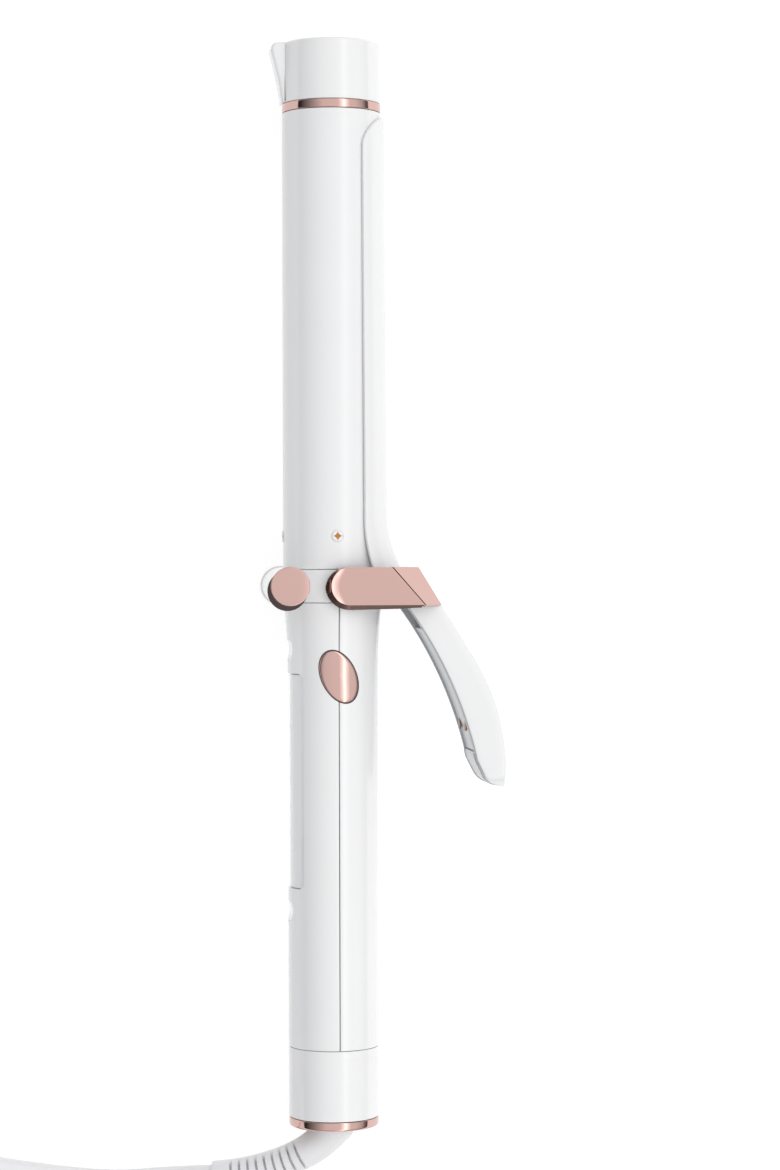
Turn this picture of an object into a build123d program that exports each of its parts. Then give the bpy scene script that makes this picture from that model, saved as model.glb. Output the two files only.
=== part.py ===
from build123d import *
import math
import os

import numpy

# A curling iron, in millimetres. It is modelled about its barrel axis: Y runs along the
# barrel towards the tip, X points to the thumb lever and Z to the side that shows. At the
# end everything is moved so that the iron lies on its side on the plane Z = 0.

# barrel, tip and trim ring
barrel_radius = 15.875
barrel_wall = 1.2
barrel_length = 146.0
tip_ring_height = 2.9
tip_step = 0.075
tip_length = 19.4
tip_wall = 2.2
tip_top_wall = 3.0
tip_edge = 1.0
tip_plug_depth = 12.0
foot_reach = 4.6
foot_root_reach = 0.5
foot_belly = 0.3
foot_corner = 2.4
foot_width = 9.0
foot_edge = 1.2

# hinge collar between barrel and handle
collar_height = 10.6
collar_bore = 7.5
upper_spigot_length = 19.0
lower_spigot_length = 9.0
seam_bevel = 0.25
slip_gap = 0.075

# barrel screws
screw_height = 15.9
screw_radius = 1.2
screw_head_radius = 1.9
screw_head_depth = 0.7
screw_length = 4.2

# rest bar across the back of the collar
bar_inset = 0.475
bar_radius = 6.0
bar_wall = 1.8
bar_cap_radius = 6.2
bar_cap_thickness = 2.2
bar_cap_spigot = 4.0
bar_cap_bevel = 0.7
bar_gap = 0.25
bar_screw_radius = 1.4
bar_screw_head_radius = 2.0
bar_screw_head_height = 1.3

# handle
handle_radius = 14.5
handle_flare = 1.2
flare_length = 23.0
handle_length = 142.3
handle_wall = 2.2
seam_offset = 0.5
seam_gap = 0.2
handle_screw_insets = (27.7, 10.6)
handle_screw_radius = 1.2
handle_screw_head_radius = 2.1
handle_screw_head_height = 1.2
handle_screw_sink = 1.6
handle_screw_reach = 7.0
boss_radius = 3.0
boss_root = 0.3

# control panel, indicator lights and buttons on the side away from the lever
panel_top = -28.0
panel_length = 68.6
panel_width = 20.0
panel_corner = 2.2
panel_sink = 0.6
panel_thickness = 1.0
panel_gap = 0.15
light_radius = 0.9
light_pitch = 8.5
light_count = 5
heat_button_height = -20.5
power_button_height = -104.0
button_half_height = 3.4
button_half_width = 5.2
button_gap = 0.12
button_travel = 0.6
button_flange = 0.9
button_flange_half_width = 4.0
button_flange_thickness = 0.8
scoop_depth = 1.0
scoop_half_height = 3.5

# circuit board
board_drop = 4.3
board_thickness = 1.6
board_side_gap = 0.843
board_top = -17.5
board_length = 94.5
switch_size = 4.5
switch_height = 1.2
plunger_radius = 1.1
plunger_height = 0.5
press_gap = 0.1
post_radius = 2.2
post_places = ((-39.0, 5.5), (-92.0, -5.5))
board_screw_radius = 1.0
board_screw_head_radius = 1.9
board_screw_head_height = 1.2
board_screw_reach = 2.5

# oval inlay on the handle seam
badge_height = -28.7
badge_half_width = 5.6
badge_half_length = 8.8
badge_tilt = 25.0
badge_depth = 0.6
badge_proud = 0.35

# end collar, end ring and swivel
end_collar_step = 0.05
end_collar_length = 22.6
end_spigot_length = 6.6
end_bore = 9.2
end_ring_step = 0.1
end_ring_height = 3.0
end_ring_edge = 0.9
swivel_gap = 0.3
flange_thickness = 3.6
stem_radius = 5.0
stem_length = 13.5
slip_ring_wall = 1.2
slip_ring_height = 2.4
slip_ring_drops = (3.5, 8.5)
brush_width = 3.0

# hinge: pivot, bracket, rose-gold cover
pivot_offset = 3.6
pin_radius = 1.75
pin_root = 9.5
running_gap = 0.05
boss_wall = 1.65
side_gap = 0.2
cover_side_stand = 4.325
cover_half_height = 6.0
cover_wall = 1.5
cover_edge = 0.6
cover_face_stand = 14.025
cover_face_slope = 0.617
cover_face_half_width = 12.8
cover_fold_stand = 6.075
cover_fold_slope = 0.878
bracket_half_height = 4.6
bracket_wall = 1.0
fit_gap = 0.05
seat_gap = 0.15

# hinge springs
spring_wire = 0.6
spring_quarters = 5
spring_pitch = 0.7
spring_leg = 3.0
spring_gap = 0.1

# clamp plate
plate_gap = 0.3
plate_thickness = 0.9
plate_half_width = 14.4
plate_corner = 10.0
clamp_short = 1.8
clamp_lean = 0.6
flare_start = 24.0
flare_radius = 59.0
plate_tab = 3.0
rivet_radius = 1.2
rivet_head_radius = 2.0
rivet_head_height = 0.8
plate_rivet_spread = 4.5
lever_rivet_spread = 7.0
lever_rivet_reach = 5.0

# thumb lever
lever_half_width = 12.6
lever_wall = 2.2
lever_bend_start = -23.3
lever_bend_radius = 68.5
lever_tip_run = 5.1
lever_root_depth = 10.0
lever_middle_depth = 10.9
lever_tip_depth = 9.7
lever_tip_rise = 3.4
lever_chin = 6.9
lever_chin_radius = 5.5
lever_tip_radius = 1.8
lever_plan_corner = 8.0
lever_plan_overhang = 0.6
lever_edge = 1.0
root_gap = 0.4
pocket_top = -14.0
pocket_tip_angle = 4.0
liner_sink = 0.6
liner_thickness = 1.8
liner_gap = 0.15
lever_screw_height = -45.0
lever_screw_spread = 6.5
lever_screw_radius = 1.0
lever_screw_head_radius = 1.7
lever_screw_head_height = 0.6
lever_screw_reach = 4.0
lever_boss_radius = 2.4

# heater
core_start = 40.0
core_end_gap = 9.3
core_wall = 1.8
web_thickness = 1.9
heater_thickness = 2.1
heater_width = 16.0
heater_end_gap = 15.8
fuse_radius = 1.5
fuse_length = 10.0
fuse_offset = 5.0
fuse_start = 60.0
lead_radius = 0.9
lead_offset = 5.4
lead_spread = 3.4
lead_overlap = 4.5

# strain relief and cord
relief_radius = 7.4
relief_elbow_radius = 6.3
relief_neck_run = 1.2
relief_elbow_bend = 14.0
relief_elbow_turn = 67.0
relief_tail_bend = 70.0
relief_dip = 14.0
relief_ribs = 9
relief_rib_pitch = 2.9
relief_groove = 0.9
relief_groove_depth = 1.6
relief_end_radius = 4.3
relief_sleeve = 4.0
cord_radius = 3.0
cord_first_run = 15.0
cord_table_spots = ((-68.0, -19.4, 0.8), (-86.0, -17.7, 0.0), (-104.0, -14.7, 0.0), (-121.0, -11.4, 0.3), (-136.0, -8.8, 0.8))
cord_tail_spots = ((-209.0, -3.3, 17.2), (-221.5, 12.7, 10.2))
cord_arc_share = 0.45
coil_spot = (-166.0, 34.2)
coil_lead_in = 12.0
coil_lead_out = 18.0
coil_layers = 4
coil_start_radius = 42.0
coil_half_turns = 4
coil_step = 6.5
coil_lift = 1.2
tie_thickness = 0.9
tie_width = 12.0
tie_gap = 0.4
plug_spot = (-225.0, 43.2)
plug_lead_in = 13.0
plug_relief_length = 20.0
plug_relief_radius = 4.6
plug_width = 25.0
plug_height = 15.0
plug_body_length = 27.0
plug_corner = 5.0
plug_nose = 3.0
blade_spread = 12.7
blade_width = 6.35
blade_thickness = 1.5
blade_length = 16.5

# places that follow from the sizes
collar_top = collar_height / 2
barrel_end = collar_top + barrel_length
tip_radius = barrel_radius - tip_step
bar_offset = barrel_radius - bar_inset
cover_half_width = barrel_radius + cover_side_stand
cover_face_offset = barrel_radius + cover_face_stand
cover_fold_offset = barrel_radius + cover_fold_stand
clamp_length = barrel_end - clamp_short
core_length = barrel_end - tip_plug_depth - core_end_gap - core_start
heater_length = core_length - 2 * heater_thickness - heater_end_gap
tip_low = barrel_end + tip_ring_height
tip_high = tip_low + tip_length
barrel_bore = barrel_radius - barrel_wall
handle_top = -collar_height / 2
handle_bore = handle_radius - handle_wall
board_face = handle_bore - board_drop
board_width = 2 * (math.sqrt(handle_bore**2 - board_face**2) - board_side_gap)
end_collar_radius = handle_radius - end_collar_step
end_ring_radius = handle_radius - end_ring_step
handle_low = handle_top - handle_length
end_ring_top = handle_low - end_collar_length
end_face = end_ring_top - end_ring_height
handle_screw_heights = (handle_top - handle_screw_insets[0], handle_low + handle_screw_insets[1])
coil_centre = (coil_spot[0], end_face + coil_spot[1])
plug_place = (plug_spot[0], end_face + plug_spot[1])
floor = -cover_half_width
reach = 4 * barrel_radius
plate_inner = barrel_radius + plate_gap
plate_outer = plate_inner + plate_thickness
face_turn = math.atan(cover_face_slope)
face_along = Vector(math.sin(face_turn), -math.cos(face_turn), 0)
face_normal = Vector(math.cos(face_turn), math.sin(face_turn), 0)
face_start = Vector(cover_face_offset, 0, 0)
ear_inner = cover_half_width - cover_wall - fit_gap - bracket_wall
boss_top = ear_inner - side_gap
hinge_boss_radius = pin_radius + boss_wall
panel_outer = handle_radius - panel_sink
panel_floor = panel_outer - panel_thickness
panel_centre = panel_top - panel_length / 2
scoop_radius = (scoop_half_height**2 + scoop_depth**2) / (2 * scoop_depth)
button_back = board_face + switch_height + plunger_height + press_gap + button_travel
board_back = board_face - board_thickness
seam_left = seam_offset - seam_gap / 2
seam_right = seam_offset + seam_gap / 2
light_heights = [panel_centre + (i - (light_count - 1) / 2) * light_pitch for i in range(light_count)]


def across(y):
    """Plane across the barrel axis at a height, facing the tip."""
    return Plane(origin=(0, y, 0), x_dir=(1, 0, 0), z_dir=(0, 1, 0))


def facing_left(y, x=0.0):
    """Plane that faces away from the lever, with the barrel's direction as its X."""
    return Plane(origin=(x, y, 0), x_dir=(0, 1, 0), z_dir=(-1, 0, 0))


def rod_y(radius, low, high, x=0.0, z=0.0):
    """Round rod along the barrel."""
    return extrude(across(low) * Pos(x, -z) * Circle(radius), high - low)


def tube_y(outer, inner, low, high):
    """Round tube along the barrel."""
    return rod_y(outer, low, high) - rod_y(inner, low, high)


def rod_z(radius, x, y, low, high):
    """Round rod along the pivot."""
    return extrude(Pos(x, y, low) * Circle(radius), high - low)


def rod_x(radius, y, z, low, high):
    """Round rod from the left to the right."""
    plane = Plane(origin=(low, y, z), x_dir=(0, 1, 0), z_dir=(1, 0, 0))
    return extrude(plane * Circle(radius), high - low)


def block(x, y, z):
    """Box from three pairs of low and high."""
    size = Box(x[1] - x[0], y[1] - y[0], z[1] - z[0], align=(Align.MIN, Align.MIN, Align.MIN))
    return Pos(x[0], y[0], z[0]) * size


def turned(points):
    """Solid turned about the barrel axis from (radius, height) points."""
    return revolve(make_face(Polyline(*points, close=True)), Axis.Y)


def both_sides(shape):
    """The shape and its mirror image on the far side."""
    return shape + mirror(shape, Plane.XY)


def barrel_screw_turns():
    """The three screws stand on the near, the back and the far side."""
    return (0, -90, 180)


def screw_hole_cone(depth, radius, head_radius, top, length):
    """Countersunk screw pointing down its own -Z from the given top."""
    shank = Pos(0, 0, top - length) * Cylinder(radius, length, align=(Align.CENTER, Align.CENTER, Align.MIN))
    sink = Pos(0, 0, top - depth) * Cone(
        radius, head_radius, depth, align=(Align.CENTER, Align.CENTER, Align.MIN)
    )
    return shank + sink


def barrel_screws():
    """Three countersunk screws through the barrel's foot."""
    one = screw_hole_cone(screw_head_depth, screw_radius, screw_head_radius, barrel_radius, screw_length)
    solids = [Pos(0, screw_height, 0) * Rot(0, turn, 0) * one for turn in barrel_screw_turns()]
    return solids[0] + solids[1] + solids[2]


def rest_bar_room():
    """Space of the rest bar and the air around it."""
    return rod_z(bar_cap_radius + bar_gap, -bar_offset, 0, -reach, reach)


def barrel_tube():
    """Heated tube, open at both ends, notched over the rest bar."""
    bevelled = [
        (barrel_bore, collar_top),
        (barrel_radius - seam_bevel, collar_top),
        (barrel_radius, collar_top + seam_bevel),
        (barrel_radius, barrel_end - seam_bevel),
        (barrel_radius - seam_bevel, barrel_end),
        (barrel_bore, barrel_end),
    ]
    return turned(bevelled) - barrel_screws() - rest_bar_room()


def hinge_collar():
    """Collar with a spigot up into the barrel and one down into the handle."""
    upper = barrel_bore - slip_gap
    lower = handle_bore - slip_gap
    profile = [
        (collar_bore, handle_top - lower_spigot_length),
        (lower, handle_top - lower_spigot_length),
        (lower, handle_top),
        (barrel_radius - seam_bevel, handle_top),
        (barrel_radius, handle_top + seam_bevel),
        (barrel_radius, collar_top - seam_bevel),
        (barrel_radius - seam_bevel, collar_top),
        (upper, collar_top),
        (upper, collar_top + upper_spigot_length),
        (collar_bore, collar_top + upper_spigot_length),
    ]
    boss = rod_z(hinge_boss_radius, pivot_offset, 0, pin_root, boss_top)
    body = turned(profile) + both_sides(boss)
    pin_hole = rod_z(pin_radius, pivot_offset, 0, pin_root, reach)
    groove = rod_z(bar_radius, -bar_offset, 0, -reach, reach)
    bar_screw_hole = rod_x(bar_screw_radius, 0, 0, -bar_offset, 0)
    body = body - both_sides(pin_hole) - groove - bar_screw_hole
    body = body - rod_y(collar_bore, handle_top - lower_spigot_length, collar_top + upper_spigot_length)
    return body - barrel_screws()


def tip_plug():
    """Heat-proof plug that joins the barrel, the ring and the tip."""
    in_barrel = rod_y(barrel_bore - slip_gap, barrel_end - tip_plug_depth, barrel_end)
    in_tip = rod_y(tip_radius - tip_wall - slip_gap, barrel_end, tip_low + tip_plug_depth)
    return in_barrel + in_tip


def tip_ring():
    """Trim ring between barrel and tip, with softened edges."""
    inner = tip_radius - tip_wall
    profile = [
        (inner, barrel_end),
        (barrel_radius - seam_bevel, barrel_end),
        (barrel_radius, barrel_end + seam_bevel),
        (barrel_radius, tip_low - seam_bevel),
        (barrel_radius - seam_bevel, tip_low),
        (inner, tip_low),
    ]
    return turned(profile)


def foot_outline():
    """Side view of the tip's foot: flush on top, sloping in to the ring."""
    root = tip_radius - tip_wall
    top = (-(tip_radius + foot_reach), tip_high)
    low = (-(tip_radius + foot_root_reach), tip_low)
    middle = (-(tip_radius + (foot_reach + foot_root_reach) / 2 - foot_belly), (tip_high + tip_low) / 2)
    slope = ThreePointArc(top, middle, low)
    rest = Polyline(low, (-root, tip_low), (-root, tip_high), top)
    face = make_face([slope, *rest.edges()])
    corner = face.vertices().sort_by_distance(Vector(*top))[0]
    return fillet(corner, foot_corner)


def cool_tip():
    """Tip cap with its resting foot on the side away from the lever."""
    cap = rod_y(tip_radius, tip_low, tip_high)
    foot = extrude(foot_outline(), foot_width / 2, both=True)
    outer = [e for e in foot.edges().group_by(Axis.Z)[0] if e.center().X < -tip_radius]
    outer += [e for e in foot.edges().group_by(Axis.Z)[-1] if e.center().X < -tip_radius]
    foot = fillet(outer, foot_edge)
    rim = cap.edges().group_by(Axis.Y)[-1]
    cap = fillet(rim, tip_edge)
    return cap + foot - rod_y(tip_radius - tip_wall, tip_low, tip_high - tip_top_wall)


def rest_bar():
    """Tube across the back of the collar."""
    half = cover_half_width - bar_cap_thickness
    tube = rod_z(bar_radius, -bar_offset, 0, -half, half)
    tube -= rod_z(bar_radius - bar_wall, -bar_offset, 0, -half, half)
    return tube - rod_x(bar_screw_radius, 0, 0, -bar_offset, 0)


def rest_bar_caps():
    """Two disc ends with a bevelled rim and a spigot into the bar."""
    low = cover_half_width - bar_cap_thickness
    disc = rod_z(bar_cap_radius, -bar_offset, 0, low, cover_half_width)
    disc = chamfer(disc.edges().group_by(Axis.Z)[-1], bar_cap_bevel)
    spigot = rod_z(bar_radius - bar_wall - slip_gap, -bar_offset, 0, low - bar_cap_spigot, low)
    return both_sides(disc + spigot)


def rest_bar_screw():
    """Screw from the collar's bore into the rest bar."""
    seat = -math.sqrt(collar_bore**2 - bar_screw_head_radius**2) + fit_gap
    shank = rod_x(bar_screw_radius, 0, 0, -bar_offset + bar_radius - bar_wall, seat)
    head = rod_x(bar_screw_head_radius, 0, 0, seat, seat + bar_screw_head_height)
    return shank + head


def hinge_pins():
    """Two pivot pins, pressed into the collar's bosses."""
    pin = rod_z(pin_radius, pivot_offset, 0, pin_root, cover_half_width - cover_wall - side_gap)
    return both_sides(pin)


def arc_between(start, heading, end):
    """Arc from a point, leaving along a heading, to another point."""
    return TangentArc(start, end, tangent=heading)


def biarc(start, start_heading, end, end_heading):
    """Two arcs that leave and arrive along the given headings."""
    span = end - start
    total = start_heading + end_heading
    square = 2 * (1 - start_heading.dot(end_heading))
    along = span.dot(total)
    if square < 1e-9:
        handle = span.dot(span) / (4 * span.dot(end_heading))
    else:
        handle = (-along + math.sqrt(along**2 + square * span.dot(span))) / square
    joint = (start + end + (start_heading - end_heading) * handle) * 0.5
    first = arc_between(start, start_heading, joint)
    middle_heading = first % 1
    return [first, arc_between(joint, middle_heading, end)]


def hinge_spring():
    """Torsion spring round one boss, wound from quarter turns, with two legs."""
    radius = hinge_boss_radius + spring_wire
    low = barrel_radius + spring_wire / 2 + spring_gap
    rise = spring_pitch / 4

    def place(quarter):
        angle = math.radians(90 * quarter)
        point = Vector(pivot_offset + radius * math.cos(angle), radius * math.sin(angle), low + rise * quarter)
        return point, Vector(-math.sin(angle), math.cos(angle), 0)

    edges = []
    for quarter in range(spring_quarters):
        edges += biarc(*place(quarter), *place(quarter + 1))
    first, first_heading = place(0)
    last, last_heading = place(spring_quarters)
    start = first - first_heading * spring_leg
    edges = [Line(start, first), *edges, Line(last, last + last_heading * spring_leg)]
    section = Plane(origin=start, z_dir=first_heading) * Circle(spring_wire / 2)
    return sweep(section, path=Wire(edges))


def hinge_springs():
    """One spring on each side of the collar."""
    return both_sides(hinge_spring())


def band_section(y, bevel, face):
    """Outline across the hinge at a height, set in from the bevel and the face, and wider than the hinge."""
    fold_x = cover_fold_offset - cover_fold_slope * y
    face_x = cover_face_offset - cover_face_slope * y
    run = Vector(face_x - fold_x, cover_face_half_width - cover_half_width)
    normal = Vector(-run.Y, run.X).normalized()
    level = fold_x * normal.X + cover_half_width * normal.Y - bevel
    half = cover_half_width + cover_wall
    inner_fold = (level - half * normal.Y) / normal.X
    inner_face = face_x - face / face_normal.X
    inner_half = (level - inner_face * normal.X) / normal.Y
    back = -bar_offset
    points = [
        (back, -half),
        (inner_fold, -half),
        (inner_face, -inner_half),
        (inner_face, inner_half),
        (inner_fold, half),
        (back, half),
    ]
    return across(y) * make_face(Polyline(*points, close=True))


def band(side, bevel, face):
    """Solid between the outlines at the cover's lower and upper edge, cut flat at both sides."""
    low = band_section(-cover_half_height, bevel, face)
    high = band_section(cover_half_height, bevel, face)
    half = cover_half_width - side
    between = block((-reach, reach), (-cover_half_height, cover_half_height), (-half, half))
    return loft([low, high], ruled=True) & between


def arm_outline(half_height):
    """Side view of the hinge arms: round about the pivot, open to the right."""
    end = Pos(pivot_offset, 0) * Circle(half_height)
    arm = Pos(pivot_offset + reach / 2, 0) * Rectangle(reach, 2 * half_height)
    return extrude(end + arm, reach, both=True)


def hinge_cover():
    """U-shaped trim cover over the hinge, with softened side edges."""
    body = (band(0, 0, 0) - band(cover_wall, cover_wall, cover_wall)) & arm_outline(cover_half_height)
    groups = body.edges().group_by(Axis.Z)
    return fillet(groups[0] + groups[-1], min(cover_edge, cover_wall / 2))


def plate_path():
    """The clamp plate's line: straight, then bent outwards to the lever's slope."""
    top = Vector(0, clamp_length, 0)
    bend = Vector(clamp_lean, flare_start, 0)
    heading = (bend - top).normalized()
    turn = face_turn - math.atan2(heading.X, -heading.Y)
    arc = JernArc(bend, heading, flare_radius, math.degrees(turn))
    tab = Line(arc @ 1, (arc @ 1) + face_along * plate_tab)
    return [Line(top, bend), arc, tab]


def plate_depth():
    """Depth of the plate's outside behind the cover's face, where it is bolted on."""
    end = plate_path()[1] @ 1
    return (face_start - end).dot(face_normal) - plate_outer


def plate_end():
    """How far the plate's tab reaches along the cover's face."""
    return (plate_path()[2] @ 1 - face_start).dot(face_along)


def face_point(along, depth, z=0.0):
    """Point at a run along the cover's face and a depth behind it."""
    point = face_start + face_along * along - face_normal * depth
    return Vector(point.X, point.Y, z)


def face_rod(radius, along, z, shallow, deep):
    """Round rod square to the cover's face, between two depths."""
    plane = Plane(origin=face_point(along, shallow, z), x_dir=(0, 0, 1), z_dir=face_normal * -1)
    return extrude(plane * Circle(radius), deep - shallow)


def clamp_rivets():
    """Rivets that hold the clamp plate and the lever on the bracket."""
    depth = plate_depth()
    skin = cover_wall + 2 * fit_gap
    sag = plate_outer - math.sqrt(plate_outer**2 - plate_rivet_spread**2)
    under = depth + plate_thickness + sag + fit_gap
    along = plate_end() - plate_tab / 2
    shank = face_rod(rivet_radius, along, plate_rivet_spread, skin, under)
    head = face_rod(rivet_head_radius, along, plate_rivet_spread, under, under + rivet_head_height)
    low = plate_end() + root_gap + 2 * rivet_radius
    lever = face_rod(rivet_radius, low, lever_rivet_spread, skin, depth + lever_rivet_reach)
    return both_sides(shank + head) + both_sides(lever)


def clamp_plate():
    """Curved sheet that follows the barrel and flares out to the bracket."""
    path = plate_path()
    heading = path[0] % 0
    side = Vector(-heading.Y, heading.X, 0)
    plane = Plane(origin=path[0] @ 0, x_dir=side, z_dir=heading)
    half = Pos(reach / 2, 0) * Rectangle(reach, reach)
    section = plane * ((Circle(plate_outer) - Circle(plate_inner)) & half)
    sheet = sweep(section, path=Wire([edge for edge in path]))
    length = clamp_length + reach
    middle = clamp_length - length / 2
    plan = Plane(origin=(0, middle, 0), x_dir=(0, 1, 0), z_dir=(1, 0, 0))
    plan = extrude(plan * RectangleRounded(length, 2 * plate_half_width, plate_corner), reach)
    return (sheet & plan) - clamp_rivets()


def hinge_bracket():
    """Steel yoke inside the cover, with an ear on each pivot pin."""
    skin = cover_wall + fit_gap
    inside = skin + bracket_wall
    body = band(skin, skin, skin) - band(inside, inside, plate_depth() - seat_gap)
    body = body & arm_outline(bracket_half_height)
    hole = rod_z(pin_radius + running_gap, pivot_offset, 0, -reach, reach)
    return body - hole - clamp_rivets()


def lever_outer():
    """Start, centre and end of the lever's outer bend."""
    start = Vector(cover_face_offset - cover_face_slope * lever_bend_start, lever_bend_start, 0)
    centre = start - face_normal * lever_bend_radius
    return start, centre, centre + Vector(lever_bend_radius, 0, 0)


def lever_inner_arc():
    """The lever's inner line, from its root to near its tip."""
    start, centre, end = lever_outer()
    half_turn = face_turn / 2
    radial = Vector(math.cos(half_turn), math.sin(half_turn), 0)
    root = face_point(plate_end() + root_gap, lever_root_depth)
    middle = centre + radial * (lever_bend_radius - lever_middle_depth)
    tip = end + Vector(-lever_tip_depth, lever_tip_rise, 0)
    return ThreePointArc(root, middle, tip)


def lever_outline():
    """Side view of the lever, with its root tucked under the cover."""
    start, centre, end = lever_outer()
    inner = lever_inner_arc()
    depth = plate_depth()
    chin = Vector(end.X - lever_chin, end.Y - lever_tip_run, 0)
    tip = Vector(end.X, end.Y - lever_tip_run, 0)
    half_turn = face_turn / 2
    middle = centre + Vector(math.cos(half_turn), math.sin(half_turn), 0) * lever_bend_radius
    shoulder_y = -cover_half_height - side_gap
    shoulder = Vector(cover_face_offset - cover_face_slope * shoulder_y, shoulder_y, 0)
    neck = Vector(shoulder.X - depth / face_normal.X, shoulder_y, 0)
    edges = [
        inner,
        Line(inner @ 1, chin),
        Line(chin, tip),
        Line(tip, end),
        ThreePointArc(end, middle, start),
        Line(start, shoulder),
        Line(shoulder, neck),
        Line(neck, face_point(plate_end() + root_gap, depth)),
        Line(face_point(plate_end() + root_gap, depth), inner @ 0),
    ]
    face = make_face(edges)
    face = fillet(face.vertices().sort_by_distance(chin)[0], lever_chin_radius)
    return fillet(face.vertices().sort_by_distance(tip)[0], lever_tip_radius)


def lever_plan(shrink):
    """Column seen from the thumb's side: straight sides and a rounded tip."""
    tip = lever_outer()[2].Y - lever_tip_run + shrink - lever_plan_overhang
    length = reach - tip
    plane = Plane(origin=(0, tip + length / 2, 0), x_dir=(0, 1, 0), z_dir=(1, 0, 0))
    column = RectangleRounded(length, 2 * (lever_half_width - shrink), lever_plan_corner - shrink)
    return extrude(plane * column, 2 * reach)


def lever_pocket(gap):
    """Hollow of the lever, open on the side of the handle."""
    start, centre, end = lever_outer()
    wall = lever_wall + gap
    inner_radius = lever_bend_radius - wall
    top = Vector(cover_face_offset - cover_face_slope * (pocket_top - gap) - wall / face_normal.X, pocket_top - gap, 0)
    turns = [face_turn, face_turn / 2, math.radians(pocket_tip_angle) + gap / inner_radius]
    bend = [centre + Vector(math.cos(t), math.sin(t), 0) * inner_radius for t in turns]
    open_side = Vector(-2 * lever_root_depth, 0, 0)
    edges = [
        Line(top, bend[0]),
        ThreePointArc(*bend),
        Line(bend[2], bend[2] + open_side),
        Line(bend[2] + open_side, top + open_side),
        Line(top + open_side, top),
    ]
    return extrude(make_face(edges), reach, both=True) & lever_plan(wall)


def inner_x(y):
    """Where the lever's inner line lies at a height."""
    arc = lever_inner_arc()
    centre = arc.arc_center
    return centre.X + math.sqrt(arc.radius**2 - (y - centre.Y) ** 2)


def lever_screw_holes(radius, low, high):
    """Two rods through the liner, counted inwards from the lever's inner line."""
    start = inner_x(lever_screw_height)
    rod = rod_x(radius, lever_screw_height, lever_screw_spread, start + low, start + high)
    return both_sides(rod)


def lever_screws():
    """Two screws that hold the liner on the lever."""
    seat = liner_sink
    shank = lever_screw_holes(lever_screw_radius, seat, seat + liner_thickness + lever_screw_reach)
    return shank + lever_screw_holes(lever_screw_head_radius, seat - lever_screw_head_height, seat)


def thumb_lever():
    """Hollow lever with rounded edges and two screw bosses."""
    body = extrude(lever_outline(), lever_half_width, both=True) & lever_plan(0)
    rounded = [e for e in body.edges().group_by(Axis.Z)[-1] if e.center().Y < handle_top - cover_half_height]
    rounded += [e for e in body.edges().group_by(Axis.Z)[0] if e.center().Y < handle_top - cover_half_height]
    body = fillet(rounded, lever_edge)
    under_liner = liner_sink + liner_thickness + liner_gap
    bosses = lever_screw_holes(lever_boss_radius, 0, lever_middle_depth - lever_wall / 2)
    hollow = body - lever_pocket(0)
    body = hollow + ((bosses & body) - inner_band(-lever_root_depth, under_liner))
    return body - lever_screws() - clamp_rivets()


def inner_band(low, high):
    """Everything between two distances from the lever's inner line."""
    arc = lever_inner_arc()
    shallow = Pos(low, 0) * arc
    deep = Pos(high, 0) * arc
    edges = [shallow, Line(shallow @ 1, deep @ 1), deep, Line(deep @ 0, shallow @ 0)]
    return extrude(make_face(edges), reach, both=True)


def lever_liner():
    """Inner plate that closes the lever's hollow."""
    plate = inner_band(liner_sink, liner_sink + liner_thickness)
    return (plate & lever_pocket(liner_gap)) - lever_screws()


def handle_blank():
    """Both halves of the handle in one: flared at the top, bored right through."""
    flare_end = (handle_radius, handle_top - flare_length)
    rim = (handle_radius + handle_flare, handle_top)
    edges = [
        Line((handle_bore, handle_low), (handle_radius - seam_bevel, handle_low)),
        Line((handle_radius - seam_bevel, handle_low), (handle_radius, handle_low + seam_bevel)),
        Line((handle_radius, handle_low + seam_bevel), flare_end),
        TangentArc(flare_end, rim, tangent=(0, 1)),
        Line(rim, (handle_bore, handle_top)),
        Line((handle_bore, handle_top), (handle_bore, handle_low)),
    ]
    return revolve(make_face(edges), Axis.Y) - rest_bar_room() - badge_column(0, handle_radius - badge_depth)


def badge_column(shrink, low):
    """Leaning oval column through the seam on the near side, above a radius."""
    oval = Ellipse(badge_half_width - shrink, badge_half_length - shrink)
    column = extrude(Pos(seam_offset, badge_height) * Rot(0, 0, badge_tilt) * oval, reach)
    return column - rod_y(low, badge_height - reach, badge_height + reach)


def handle_badge():
    """Bare oval inlay, slightly proud of the handle."""
    height = (badge_height - badge_half_length, badge_height + badge_half_length)
    return badge_column(slip_gap, handle_radius - badge_depth) & rod_y(handle_radius + badge_proud, *height)


def panel_column(shrink):
    """Column of the control panel's outline."""
    outline = RectangleRounded(panel_length - 2 * shrink, panel_width - 2 * shrink, panel_corner - shrink)
    return extrude(facing_left(panel_centre) * outline, reach)


def indicator_lights():
    """Light guides from the circuit board to the panel's face."""
    lights = [rod_x(light_radius, y, 0, -reach, -board_face - fit_gap) for y in light_heights]
    within = rod_y(panel_outer, panel_top - panel_length, panel_top)
    return [light & within for light in lights]


def control_panel():
    """Curved strip sunk into the handle."""
    low, high = panel_top - panel_length, panel_top
    strip = panel_column(panel_gap) & tube_y(panel_outer, panel_floor, low, high)
    for light in indicator_lights():
        strip -= light
    return strip


def button_column(y, grow, low, high):
    """Oval column of a button between two distances from the axis."""
    oval = Ellipse(button_half_height + grow, button_half_width + grow)
    return extrude(facing_left(y, -low) * oval, high - low)


def button_scoop(y):
    """Finger dish over a button, cut straight across the handle."""
    return rod_z(scoop_radius, -(handle_radius - scoop_depth + scoop_radius), y, -reach, reach)


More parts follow.
